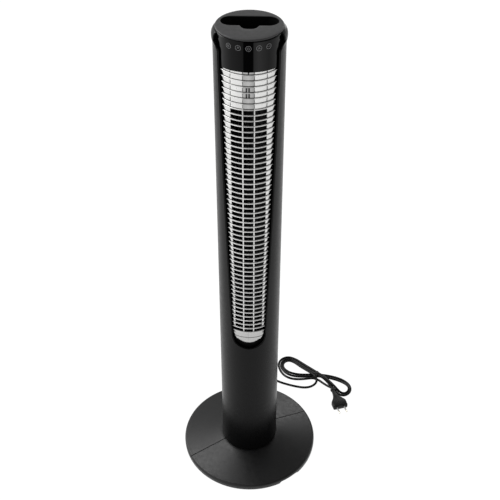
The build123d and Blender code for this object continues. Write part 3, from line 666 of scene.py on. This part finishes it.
def lipped_strip(run, radius, depth, seam_angle, side, columns=26):
    """The wall from the opening's edge back to the seam, with a rounded lip, on one side."""
    outer, inner = [], []
    for (x, z), (nx, nz) in zip(run, edge_normals(run)):
        lip = [(radius - depth, 0.0)]
        lip += [(radius - LIP + across, LIP - down) for across, down in
                [(LIP * math.sin(t * math.pi / 2), LIP * math.cos(t * math.pi / 2)) for t in steps(5)]]
        row, back = [], []
        for number, (level, away) in enumerate(lip):
            out = LIP - away if number else 0.0
            row.append(bent(level, side * angle_at(radius, x + nx * out), z + nz * out))
            back.append(bent(radius - depth, side * angle_at(radius, x), z))
        start = angle_at(radius, x + nx * LIP)
        z_start = z + nz * LIP
        for t in steps(columns)[1:]:
            angle = start + (seam_angle - start) * t
            row.append(bent(radius - seam_drop(angle), side * angle, z_start))
            back.append(bent(radius - depth, side * angle, z_start))
        outer.append(row)
        inner.append(back)
    return outer, inner


def add_front_shell():
    soup = Soup()
    run = [q for q in opening_edge() if q[1] < SHELL_TOP]
    (x0, z0), (x1, z1) = run[-2:]
    run.append((x1 + (SHELL_TOP - z1) * (x1 - x0) / (z1 - z0), SHELL_TOP))
    columns = 26
    ease = 0.6 * MM
    for side in (-1, 1):
        outer, inner = lipped_strip(run, COLUMN_R + PROUD, WALL + PROUD, 90, side, columns)
        outer[-1] = [Vector((q.x, q.y, SHELL_TOP)) for q in outer[-1]]
        inner[-1] = [Vector((q.x, q.y, SHELL_TOP)) for q in inner[-1]]
        soup.grid(outer)
        soup.grid(inner)
        soup.grid([outer[-1], inner[-1]])
        soup.grid([[row[-1] for row in outer], [row[-1] for row in inner]])
    low_rows, low_back = [], []
    for t in steps(24):
        z = COLUMN_FOOT + ease + (OPENING_LOW - LIP - COLUMN_FOOT - ease) * t
        angles = [-90 + 90 * u for u in steps(columns)] + [90 * u for u in steps(columns)][1:]
        low_rows.append([bent(COLUMN_R + PROUD - seam_drop(angle), angle, z) for angle in angles])
        low_back.append([bent(COLUMN_R - WALL, angle, z) for angle in angles])
    eased = [[bent(COLUMN_R + PROUD - ease, angle, COLUMN_FOOT) for angle in angles]]
    soup.grid(eased + low_rows)
    soup.grid(low_back)
    soup.grid([eased[0], low_back[0]])
    for last in (0, -1):
        soup.grid([[row[last] for row in low_rows], [row[last] for row in low_back]])
    add_piece(soup.build("front_casing"), "shell_black", "tower", "front_shell")


EAR_LOW = 1062.6 * MM
EAR_FRONT = 68.0
COLLAR_T = 3.4 * MM
# (radius, z) of the collar, in mm
COLLAR_OUTLINE = [
    (63.9, 1050), (64.1, 1053), (64.9, 1056), (65.6, 1059.5), (65.9, 1063), (65.9, 1066), (65.4, 1069),
    (64.2, 1072), (62.4, 1074.2), (60.2, 1075.4),
]


def collar_radius(z):
    """A band that bulges a little past the column and closes in to the cap."""
    height = z / MM
    for (r0, z0), (r1, z1) in zip(COLLAR_OUTLINE, COLLAR_OUTLINE[1:]):
        if height <= z1:
            return (r0 + (r1 - r0) * (height - z0) / (z1 - z0)) * MM
    return COLLAR_OUTLINE[-1][0] * MM


def add_collar():
    """The shoulder behind the head, with a rounded ear on each side of the panel."""
    soup = Soup()
    ease = COLLAR_T * 0.45
    top = COLLAR_TOP + COLLAR_T
    heights = [SHELL_TOP + 0.25 * MM + (EAR_LOW - SHELL_TOP - 0.45 * MM) * t for t in steps(9)]
    heights += [EAR_LOW + 0.2 * MM + (top - EAR_LOW - 0.2 * MM) * t for t in steps(10)]
    flare = [q for q in opening_edge() if q[1] > SHELL_TOP - 6 * MM]
    rings_out, rings_in = [], []
    for z in heights:
        radius = collar_radius(z)
        ear_angle = math.degrees(math.acos(EAR_Y / radius))
        edge = ear_angle if z < EAR_LOW else EAR_FRONT
        for (x0, z0), (x1, z1) in zip(flare, flare[1:]):
            if z0 <= z <= z1 and z < EAR_LOW:
                x = x0 + (x1 - x0) * (z - z0) / (z1 - z0)
                edge = min(ear_angle, angle_at(radius, x))
        round_angle = math.degrees(ease / radius)
        ends = [(edge + round_angle * (1 - math.cos(turn)), ease * (1 - math.sin(turn)))
                for turn in (t * math.pi / 2 for t in steps(4))]
        span = 360 - 2 * (edge + round_angle)
        marks = ends + [(edge + round_angle + span * t, 0.0) for t in steps(90)[1:-1]]
        marks += [(-angle, inset) for angle, inset in ends[::-1]]
        rings_out.append([bent(radius - inset, angle, z) for angle, inset in marks])
        rings_in.append([bent(radius - COLLAR_T + inset, angle, z) for angle, inset in marks])
    soup.shell(rings_out, rings_in)
    add_piece(soup.build("head_collar"), "shell_black", "tower", "top_collar")


# ---- head

def slot_loop():
    """The remote's slot seen from above, with a rounded finger notch, as a loop of (x, y)."""
    end = SLOT_WIDTH / 2
    reach = SLOT_LENGTH / 2 - end
    front = SLOT_Y - end

    def round_end(middle, start):
        turns = [math.radians(start + 180 * t) for t in steps(24)]
        return [(middle + end * math.cos(turn), SLOT_Y + end * math.sin(turn)) for turn in turns]

    loop = round_end(reach, -90)
    loop += [(reach - 2 * reach * t, SLOT_Y + end) for t in steps(24)[1:-1]]
    loop += round_end(-reach, 90)
    loop += [(-reach + (reach - NOTCH_X) * t, front) for t in steps(4)[1:-1]]
    for across in (2 * t - 1 for t in steps(24)):
        loop.append((NOTCH_X * across, front + (NOTCH_Y - front) * (1 - abs(across) ** 3.5)))
    loop += [(NOTCH_X + (reach - NOTCH_X) * t, front) for t in steps(4)[1:-1]]
    return loop


def grown(loop, distance):
    """A closed loop moved outwards by a distance."""
    moved = []
    for i, (x, y) in enumerate(loop):
        before, after = loop[i - 1], loop[(i + 1) % len(loop)]
        dx, dy = after[0] - before[0], after[1] - before[1]
        size = math.hypot(dx, dy)
        moved.append((x + dy / size * distance, y - dx / size * distance))
    return moved


def add_cap():
    soup = Soup()
    hole = slot_loop()
    lid_low = HEIGHT - CAP_T
    lid_r = CAP_R + 1.0 * MM
    rim = 1.5 * MM
    ease = 0.35 * MM

    def circle(radius):
        """A circle round the column's axis, with a point on each ray from the slot's middle."""
        ring = []
        for x, y in hole:
            turn = math.atan2(y - CAP_MIDDLE_Y, x)
            ux, uy = math.cos(turn), math.sin(turn)
            along = uy * CAP_MIDDLE_Y
            reach = -along + math.sqrt(along * along + radius * radius - CAP_MIDDLE_Y ** 2)
            ring.append((ux * reach, CAP_MIDDLE_Y + uy * reach))
        return ring

    rings = [(circle(lid_r - 2.2 * MM), lid_low), (circle(lid_r - 2.2 * MM), lid_low + 1.7 * MM),
             (circle(lid_r - 0.3 * MM), lid_low + 1.9 * MM), (circle(lid_r), lid_low + 2.2 * MM)]
    for across, down in quarter(rim, 5)[::-1]:
        rings.append((circle(lid_r - rim + across), HEIGHT - down))
    for share in (0.25, 0.5, 0.75):
        outer, inner = circle(lid_r - rim), grown(hole, ease)
        rings.append(([tuple(mix(a, b, share)) for a, b in zip(outer, inner)], HEIGHT))
    for across, down in quarter(ease, 4):
        rings.append((grown(hole, ease - across), HEIGHT - down))
    rings.append((hole, HEIGHT - 1.0 * MM))
    rings.append((grown(hole, 1.6 * MM), HEIGHT - 1.0 * MM))
    rings.append((grown(hole, 1.6 * MM), lid_low))
    placed = [[Vector((x, y, z)) for x, y in ring] for ring, z in rings]
    soup.grid(placed, close_columns=True, close_rows=True)
    skirt = [[bent(radius * MM, 3 * i, lid_low + z * MM) for i in range(120)]
             for radius, z in ((56.5, 0), (56.5, -5), (55.2, -5), (55.2, 0))]
    soup.grid(skirt, close_columns=True, close_rows=True)
    add_piece(soup.build("cap_lid"), "cap_satin", "tower", "top_cap")
    # A black sheet over the walls of the slot in the cap: painted shade, so that the walls read dark.
    shade_sheet = Soup()
    walls = [[Vector((x, y, HEIGHT - z * MM)) for x, y in grown(hole, out * MM)]
             for out, z in ((0.05, 1.05), (0.05, 4.6), (1.4, 4.6), (1.4, 1.05))]
    shade_sheet.grid(walls, close_columns=True, close_rows=True)
    add_piece(shade_sheet.build("slot_shade_sheet"), "black_moulding", "tower")


def panel_half_angle(z):
    """Half the panel's width at a height, as an angle round the column."""
    flare = arc_points((48.5 * MM, PANEL_FLARE_LOW), (50.9 * MM, 1056 * MM), (58.4 * MM, 1062.5 * MM), 24)
    limit = math.degrees(math.acos((EAR_Y + 0.4 * MM) / PANEL_R))
    if z <= PANEL_FLARE_LOW:
        share = (z - PANEL_LOW) / (PANEL_FLARE_LOW - PANEL_LOW)
        return angle_at(PANEL_R, (48.0 + 0.5 * share) * MM)
    for (x0, z0), (x1, z1) in zip(flare, flare[1:]):
        if z0 <= z <= z1:
            return min(limit, angle_at(PANEL_R, x0 + (x1 - x0) * (z - z0) / max(1e-9, z1 - z0)))
    return limit


def add_panel():
    """The gloss panel, with eased edges all round."""
    soup = Soup()
    ease = 0.6 * MM
    middle = [PANEL_LOW + ease + (PANEL_TOP - PANEL_LOW - ease - 1.6 * MM) * t for t in steps(60)]
    rows = [(PANEL_LOW, PANEL_R - ease), (PANEL_LOW + 0.18 * MM, PANEL_R - 0.18 * MM)]
    rows += [(z, PANEL_R) for z in middle]
    rows += [(PANEL_TOP - 0.9 * MM, PANEL_R - 0.25 * MM), (PANEL_TOP - 0.25 * MM, PANEL_R - 0.8 * MM),
             (PANEL_TOP, PANEL_R - 1.3 * MM)]
    outer, inner = [], []

    def sagged(radius, angle, z):
        """A point of the panel, whose lower edge hangs a little, most at its sides."""
        low = max(0.0, (PANEL_SAG_TOP - z) / (PANEL_SAG_TOP - PANEL_LOW))
        return bent(radius, angle, z - low * (0.9 + 2.6 * (angle / 55) ** 2) * MM)

    tight = math.degrees(ease / PANEL_R)
    back_r = PANEL_R - PANEL_T
    for z, radius in rows:
        half = panel_half_angle(min(max(z, PANEL_LOW), PANEL_TOP))
        edge_r, eased_r, eased_angle = min(radius, PANEL_R - ease), radius - 0.18 * MM, half - 0.3 * tight
        angles = [(-half + tight) + 2 * (half - tight) * t for t in steps(60)]
        row = [sagged(edge_r, -half, z), sagged(eased_r, -eased_angle, z)]
        row += [sagged(radius, angle, z) for angle in angles]
        row += [sagged(eased_r, eased_angle, z), sagged(edge_r, half, z)]
        outer.append(row)
        back = [sagged(back_r, -half, z)] * 2
        back += [sagged(back_r, angle, z) for angle in angles]
        back += [sagged(back_r, half, z)] * 2
        inner.append(back)
    soup.shell(outer, inner)
    add_piece(soup.build("panel_glass"), "panel_gloss", "tower", "control_panel")


def stroke(soup, run, width, angle, closed=False):
    """A printed line on the panel along (across, up) in mm from a key's centre."""
    lift = PANEL_R + 0.03 * MM
    base = PANEL_R - 0.1 * MM
    rings = []
    count = len(run)
    for i, (x, y) in enumerate(run):
        if closed:
            before, after = run[i - 1], run[(i + 1) % count]
        else:
            before, after = run[max(0, i - 1)], run[min(count - 1, i + 1)]
        dx, dy = after[0] - before[0], after[1] - before[1]
        size = math.hypot(dx, dy)
        nx, ny = -dy / size * width / 2, dx / size * width / 2
        ring = []
        for sx, sy, radius in ((nx, ny, lift), (-nx, -ny, lift), (-nx, -ny, base), (nx, ny, base)):
            turned = angle + math.degrees((x + sx) * MM / PANEL_R)
            ring.append(bent(radius, turned, KEY_Z + (y + sy) * MM))
        rings.append(ring)
    if closed:
        soup.grid(rings, close_columns=True, close_rows=True)
    else:
        soup.sweep(rings)


def circle_run(radius, start=0.0, end=360.0, count=40):
    turns = [math.radians(start + (end - start) * i / count) for i in range(count)]
    return [(radius * math.cos(turn), radius * math.sin(turn)) for turn in turns]


def add_print():
    """Five ringed key symbols: timer, mode, power, speed and swing."""
    soup = Soup()
    middle = (KEY_COUNT - 1) / 2
    angles = [(i - middle) * KEY_STEP for i in range(KEY_COUNT)]
    for angle in angles:
        stroke(soup, circle_run(4.6), 0.55, angle, closed=True)
    stroke(soup, circle_run(2.0, count=24), 0.45, angles[0], closed=True)
    stroke(soup, [(-0.9, 1.0), (0, 0), (0.9, 0.4)], 0.45, angles[0])
    stroke(soup, [(-1.8, -0.9), (-0.6, 0.6), (0.6, -0.6), (1.8, 0.9)], 0.5, angles[1])
    stroke(soup, [(-1.8, 0.5), (-0.6, 2.0), (0.6, 0.8), (1.8, 2.2)], 0.4, angles[1])
    stroke(soup, circle_run(2.1, 130, 410, 24), 0.5, angles[2])
    stroke(soup, [(0, 0.6), (0, 2.8)], 0.5, angles[2])
    for turn in (90, 210, 330):
        blade = [polar(0.5, turn)[:2], polar(1.5, turn + 18)[:2], polar(2.4, turn - 8)[:2]]
        stroke(soup, blade, 0.8, angles[3])
    stroke(soup, [(-2.4, 0), (2.4, 0)], 0.45, angles[4])
    stroke(soup, [(-1.4, 1.1), (-2.5, 0), (-1.4, -1.1)], 0.4, angles[4])
    stroke(soup, [(1.4, 1.1), (2.5, 0), (1.4, -1.1)], 0.4, angles[4])
    piece = add_piece(soup.build("panel_print"), "panel_gloss", "tower")
    piece.data.materials[0] = make_print()


# ---- grille

FIN_GROOVE = 0.9 * MM
LENS_LOW, LENS_HIGH = -5.0 * MM, 2.6 * MM


def grille_half(z):
    return GRILLE_LOW_X + GRILLE_TAPER * (z - 410 * MM)


def plate_strip(soup, rows, near, far, r_in, side, radius=PLATE_R, ease=0.2 * MM, count=6):
    """A strip of the plate between two edges given as x at a height, on one side."""
    rings = []
    for z in rows:
        low, high = angle_at(radius, near(z)), angle_at(radius, far(z))
        nudge = math.degrees(ease / radius)
        ring = [bent(r_in, side * low, z), bent(radius - ease, side * low, z)]
        ring += [bent(radius, side * (low + nudge + (high - low - 2 * nudge) * t), z) for t in steps(count)]
        ring += [bent(radius - ease, side * high, z), bent(r_in, side * high, z)]
        rings.append(ring)
    soup.sweep(rings)


def fin(soup, z, half):
    """A level fin with a rounded front edge, thinning to a point at both tips."""
    profile = rounded_box(PLATE_R - 0.9 * MM, GRILLE_R, -FIN_T / 2, FIN_T / 2, 0.75 * MM, 2)
    reach = angle_at(GRILLE_R, half)
    tip = 3.6
    marks = [(-reach, 0.15), (-reach + tip * 0.3, 0.5), (-reach + tip, 1.0)]
    marks += [(-reach + tip + 2 * (reach - tip) * t, 1.0) for t in steps(28)[1:-1]]
    marks += [(reach - tip, 1.0), (reach - tip * 0.3, 0.5), (reach, 0.15)]
    soup.sweep([[bent(radius, angle, z + level * share) for radius, level in profile]
                for angle, share in marks])


def add_grille():
    soup = Soup()
    plate_in = PLATE_R - 1.4 * MM
    for i in range(FIN_COUNT):
        z = FIN_FIRST_Z + i * FIN_PITCH
        fin(soup, z, grille_half(z) + 0.6 * MM)
        low = z + FIN_T / 2 + FIN_GROOVE
        high = min(z + FIN_PITCH - FIN_T / 2, GRILLE_TOP)
        if high - low > 2 * MM:
            plate_cell(soup, low, high, plate_in)
    rib = angle_at(PLATE_R, RIB_X)
    rib_half = math.degrees(1.0 * MM / PLATE_R)
    for side in (-1, 1):
        middle = side * rib
        bent_bar(soup, (plate_in, PLATE_R + 0.5 * MM), (WINDOW_LOW - 7 * MM, WINDOW_TOP + 2 * MM),
                 middle - rib_half, middle + rib_half, 0.5 * MM, 4)
    lens_mullion(soup)
    chin_block(soup)
    add_piece(soup.build("grille_moulding", 50), "grille_silver", "tower", "outlet_grille")


def plate_cell(soup, low, high, plate_in):
    """The plate between two fins: a saw tooth at each side, and the blank above the windows."""
    def edge(z):
        share = (z - low) / (high - low)
        return max(grille_half(z) - (4.2 - 3.4 * share) * MM, 31.5 * MM)

    rows = [low, high]
    gap = 0.65 * MM
    for side in (-1, 1):
        plate_strip(soup, rows, lambda z: min(WINDOW_X + gap, edge(z) - 3.5 * MM), edge, plate_in, side,
                    count=3)
    if low < WINDOW_TOP - 1 * MM:
        return
    for side in (-1, 1):
        plate_strip(soup, rows, lambda z: RIB_X + gap * 0.6, lambda z: WINDOW_X - gap, plate_in, side)
    side_edge = RIB_X - gap * 0.6
    lens_low, lens_high = (corner.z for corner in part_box("indicator_lens"))
    if min(high, lens_high) - max(low, lens_low) < 2 * MM:
        plate_strip(soup, rows, lambda z: -side_edge, lambda z: side_edge, plate_in, 1)
    else:
        plate_strip(soup, rows, lambda z: -side_edge, lambda z: LENS_LOW, plate_in, 1, count=2)
        plate_strip(soup, rows, lambda z: LENS_HIGH, lambda z: side_edge, plate_in, 1, count=2)


def lens_mullion(soup):
    """A thin upright that splits the indicator window in two."""
    middle = (LENS_LOW + LENS_HIGH) / 2
    low, high = (corner.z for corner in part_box("indicator_lens"))
    turn, half = angle_at(PLATE_R, middle), math.degrees(0.6 * MM / PLATE_R)
    bent_bar(soup, (PLATE_R - 0.8 * MM, PLATE_R + 0.4 * MM), (low - 0.5 * MM, high + 0.5 * MM),
             turn - half, turn + half, 0.3 * MM, 2)


def chin_block(soup):
    """The foot of the grille: a stepped pad under the last fin, and a rounded chin below a crease."""
    block_in, block_out, high = PLATE_R - 1.2 * MM, GRILLE_R - 0.8 * MM, 390.0 * MM
    tiers = ((411.4, 404.5, 30.4, 32.6), (404.5, 397.8, 28.6, 31.8), (396.2, 389.8, 25.0, 29.4))
    for top, bottom, narrow, wide in tiers:
        rows = [bottom * MM, (bottom + top) / 2 * MM, top * MM]
        span = (top - bottom) * MM

        def edge(z):
            return (narrow + (wide - narrow) * (z - bottom * MM) / span) * MM

        for side in (1, -1):
            plate_strip(soup, rows, lambda z: 0.0, edge, block_in, side, block_out, 0.4 * MM)
    rings = []
    for t in steps(28):
        angle = -24 + 48 * t
        x = GRILLE_R * math.sin(math.radians(angle)) / MM
        low = GRILLE_LOW + 8.2 * MM * (x / 24.4) ** 2
        ring = [(block_in, low), (GRILLE_R - 2.0 * MM, low), (GRILLE_R - 1.1 * MM, low + 0.6 * MM),
                (block_out, low + 1.8 * MM), (block_out, high), (block_in, high)]
        rings.append([bent(radius, angle, min(z, high)) for radius, z in ring])
    soup.sweep(rings)
    fin(soup, 411.8 * MM, 33.2 * MM)


def add_latch_tab():
    """The small dark catch that shows at the top of the grille, under the panel."""
    soup = Soup()
    bent_bar(soup, (PLATE_R - 1 * MM, GRILLE_R - 0.6 * MM), (GRILLE_TOP - 3.4 * MM, GRILLE_TOP + 1 * MM),
             -0.9, 0.9, 0.4 * MM, 3)
    add_piece(soup.build("grille_catch"), "black_moulding", "tower")


# ---- base

RIM_LOW = 1.4 * MM


def base_profile():
    """(radius, z) of the base's skin, from the hub over the rounded rim to its lower edge."""
    run = [(16, 30), (60, 30), (66, 29.95), (68, 29.7), (72, 28.9), (90, 25.6), (110, 22.1), (130, 18.6),
           (144, 16.2)]
    run += arc_points((150.7, 15.0), (154.9, 13.0), (156.3, 9.6), 8)
    run += [(156.3, 5.0), (156.0, 1.9), (155.4, RIM_LOW / MM)]
    return [(r * MM, z * MM) for r, z in run]


def cutout_height(angle, rear):
    """The height of the rim's lower edge at an angle, raised over the cut-out."""
    low, high, top = (100.2, 118.7, 10.5) if rear else (-61.3, -42.8, 7.0)
    turn = (angle + 180) % 360 - 180
    inside = min(turn - low, high - turn)
    if inside <= 0:
        return RIM_LOW
    ramp = min(1.0, inside / 1.4)
    return RIM_LOW + (top * MM - RIM_LOW) * math.sin(ramp * math.pi / 2)


def add_base_half(name, start, rear, node):
    """Half of the base: a shell with an eased joint edge, hollow below, with bosses."""
    soup = Soup()
    wall = 2.8 * MM
    profile = base_profile()
    gap = 0.04 * MM
    outer, inner = [], []
    angles = [start + 180 * t for t in steps(90)]
    edge_rows = []
    shifts = [gap] + [0.0] * (len(angles) - 2) + [-gap]
    for angle, shift in zip(angles, shifts):
        outer.append(base_row(profile, angle, rear, shift, 0.0))
        inner.append(base_row(profile, angle, rear, shift, wall))
    for side in (0, -1):
        row, sign = outer[side], 1 if side == 0 else -1
        turn = math.radians(angles[side])
        across = Vector((-math.sin(turn), math.cos(turn), 0)) * sign
        eased = [point + across * 0.9 * MM for point in row]
        sunk = [point - Vector((0, 0, 1.3 * MM)) for point in row]
        edge_rows.append((eased, sunk))
    body = [edge_rows[0][1], edge_rows[0][0]] + outer[1:-1] + [edge_rows[1][0], edge_rows[1][1]]
    soup.grid(body)
    soup.grid(inner)
    soup.grid([body[0], inner[0]])
    soup.grid([body[-1], inner[-1]])
    for end in (0, -1):
        first = [body[0][end]] + [row[end] for row in body[1:-1]] + [body[-1][end]]
        second = [inner[0][end]] * 2 + [row[end] for row in inner[1:-1]] + [inner[-1][end]] * 2
        soup.grid([first, second])
    for i in range(3):
        centre = polar(137 * MM, start + 30 + 60 * i)
        rings = []
        for radius, z in ((10.0, 3.0), (9.6, 3.0), (9.6, 12.0), (10.4, 15.6)):
            rings.append([Vector((centre[0] + radius * MM * math.cos(math.radians(a)),
                                  centre[1] + radius * MM * math.sin(math.radians(a)), z * MM))
                          for a in range(0, 360, 12)])
        soup.sweep(rings)
    add_piece(soup.build(name, 30), "base_satin", "base", node)


def base_row(profile, angle, rear, shift, depth):
    """One section of the base's skin, moved down by its wall where depth is given."""
    row = []
    turn = math.radians(angle)
    across = Vector((-math.sin(turn), math.cos(turn), 0)) * shift
    lowest = cutout_height(angle, rear)
    for radius, z in profile:
        if depth:
            radius = radius - depth if radius > 150 * MM else radius
            z = z - depth if radius < 151 * MM and z > 12 * MM else min(z, 12.4 * MM)
            radius = min(radius, 153.4 * MM)
        z = max(z, lowest)
        point = Vector((radius * math.cos(turn), radius * math.sin(turn), z))
        row.append(point + across)
    return row


# ---- things on the lead

UP = Vector((0, 0, 1))


def section(centre, across, loop):
    """A loop of (x, y) in mm, stood upright across a direction."""
    return [centre + across * x * MM + UP * y * MM for x, y in loop]


def relief_frame():
    out = Vector(polar(1, EXIT_ANGLE))
    side = Vector((-out.y, out.x, 0))
    return Vector(polar(148 * MM, EXIT_ANGLE, EXIT_Z)), out, side


def add_relief():
    """A tapered sleeve with a collar and soft ribs, where the lead leaves the base."""
    soup = Soup()
    origin, out, side = relief_frame()
    profile = [(3.12, 0), (4.6, 0), (5.0, 0.4), (5.0, 2.6), (4.6, 3.0)]
    for i in range(6):
        at = 3.4 + 2.55 * i
        body = 4.35 - 0.12 * i
        profile += [(body - 0.45, at), (body - 0.45, at + 0.5), (body, at + 0.85), (body, at + 2.1)]
    profile += [(3.5, 19.4), (3.2, 20.0), (3.05, 20.0)]
    rings = []
    for radius, along in profile:
        rings.append([origin + out * along * MM + side * radius * MM * math.cos(math.radians(a))
                      + UP * radius * MM * math.sin(math.radians(a)) for a in range(0, 360, 12)])
    soup.grid(rings, close_columns=True)
    soup.grid([rings[0], rings[-1]], close_columns=True)
    return add_piece(soup.build("lead_strain_relief"), "cord_pvc", "base", "cord_strain_relief")


# distance from the neck, half width and half height in mm, and how square the section is
PLUG_RINGS = [
    (-1.0, 3.6, 3.6, 2.0), (0.0, 4.3, 4.2, 2.0), (3.0, 4.5, 4.4, 2.1), (9.0, 4.9, 4.9, 2.3),
    (16.0, 5.6, 5.5, 2.6), (23.0, 6.9, 6.0, 3.0), (30.0, 9.6, 6.4, 3.6), (36.0, 13.2, 6.7, 4.4),
    (41.5, 16.9, 6.9, 5.5), (44.5, 18.5, 7.0, 6.5), (45.5, 18.7, 7.0, 7.0), (60.6, 18.5, 7.0, 7.0),
    (61.6, 18.1, 6.7, 6.5), (62.0, 17.3, 6.1, 6.0),
]


def plug_frame():
    along = Vector(polar(1, PLUG_ANGLE))
    across = Vector(polar(1, PLUG_ANGLE + 90))
    return Vector(NECK_AT), along, across


def superellipse(half_width, half_height, power, count=40):
    loop = []
    for i in range(count):
        turn = 2 * math.pi * i / count
        c, s = math.cos(turn), math.sin(turn)
        loop.append((half_width * math.copysign(abs(c) ** (2 / power), c),
                     half_height * math.copysign(abs(s) ** (2 / power), s)))
    return loop


def add_plug():
    """A flat two-pin plug with a waisted grip, a face rim and finger ribs on both sides."""
    soup = Soup()
    origin, along, across = plug_frame()
    soup.sweep([section(origin + along * at * MM, across, superellipse(half_width, half_height, power))
                for at, half_width, half_height, power in PLUG_RINGS])
    for i, width in enumerate((4.6, 5.6, 7.0, 8.6, 10.2)):
        at = 27.0 + 3.6 * i
        for side in (-1, 1):
            rib = []
            for t in steps(10):
                x = -width + 2 * width * t
                level = (6.35 + 0.1 * i) - 0.5 * (2 * t - 1) ** 4
                rib.append([origin + along * (at + a) * MM + across * x * MM + UP * side * (level + h) * MM
                            for a, h in ((-0.7, -0.8), (-0.45, 0.1), (0, 0.3), (0.45, 0.1), (0.7, -0.8))])
            soup.sweep(rib)
    return add_piece(soup.build("plug_moulding", 40), "plug_pvc", "base", "plug_body")


def band(soup, loop, thickness, along, width):
    """A flat band round a loop of points, square to a direction."""
    centre = sum(loop, Vector()) / len(loop)
    rings = []
    for point in loop:
        out = (point - centre)
        out -= along * out.dot(along)
        out.normalize()
        rings.append([point + along * width / 2, point + out * thickness + along * width * 0.42,
                      point + out * thickness - along * width * 0.42, point - along * width / 2])
    soup.grid(rings, close_columns=True, close_rows=True)


def add_ties():
    """A flat tie round the waist of the hank and one round the plug's neck."""
    soup = Soup()
    along = Vector(polar(1, -14))
    across = Vector(polar(1, 76))
    centre = Vector((168.5 * MM, 201.0 * MM, 7.4 * MM))
    band(soup, section(centre, across, superellipse(13.2, 6.1, 3.0, 32)), 1.1 * MM, along, 5.0 * MM)
    knot = section(centre + UP * 7.0 * MM + across * 3 * MM, across, superellipse(3.2, 1.5, 3.0, 16))
    soup.sweep([[point + along * s * MM for point in knot] for s in (-3.4, -3.0, 3.0, 3.4)])
    origin, along, across = plug_frame()
    neck = [(x + 1.6, y) for x, y in superellipse(7.0, 5.0, 2.6, 32)]
    band(soup, section(origin + along * 2.6 * MM, across, neck), 1.0 * MM, along, 4.0 * MM)
    return add_piece(soup.build("lead_ties"), "tie_plastic", "base", "cord_ties")


# ---- build

add_camera()
add_stage()
add_lights()
dress_frame()
relief = add_relief()
plug = add_plug()
ties = add_ties()
lead = add_piece(add_cord(), "cord_pvc", "base", "power_cord", "cord_hank")
add_front_shell()
add_collar()
add_cap()
add_panel()
add_print()
add_grille()
add_latch_tab()
add_base_half("base_front_skin", SEAM_ANGLE + 180, False, "base_front_half")
add_base_half("base_rear_skin", SEAM_ANGLE, True, "base_rear_half")
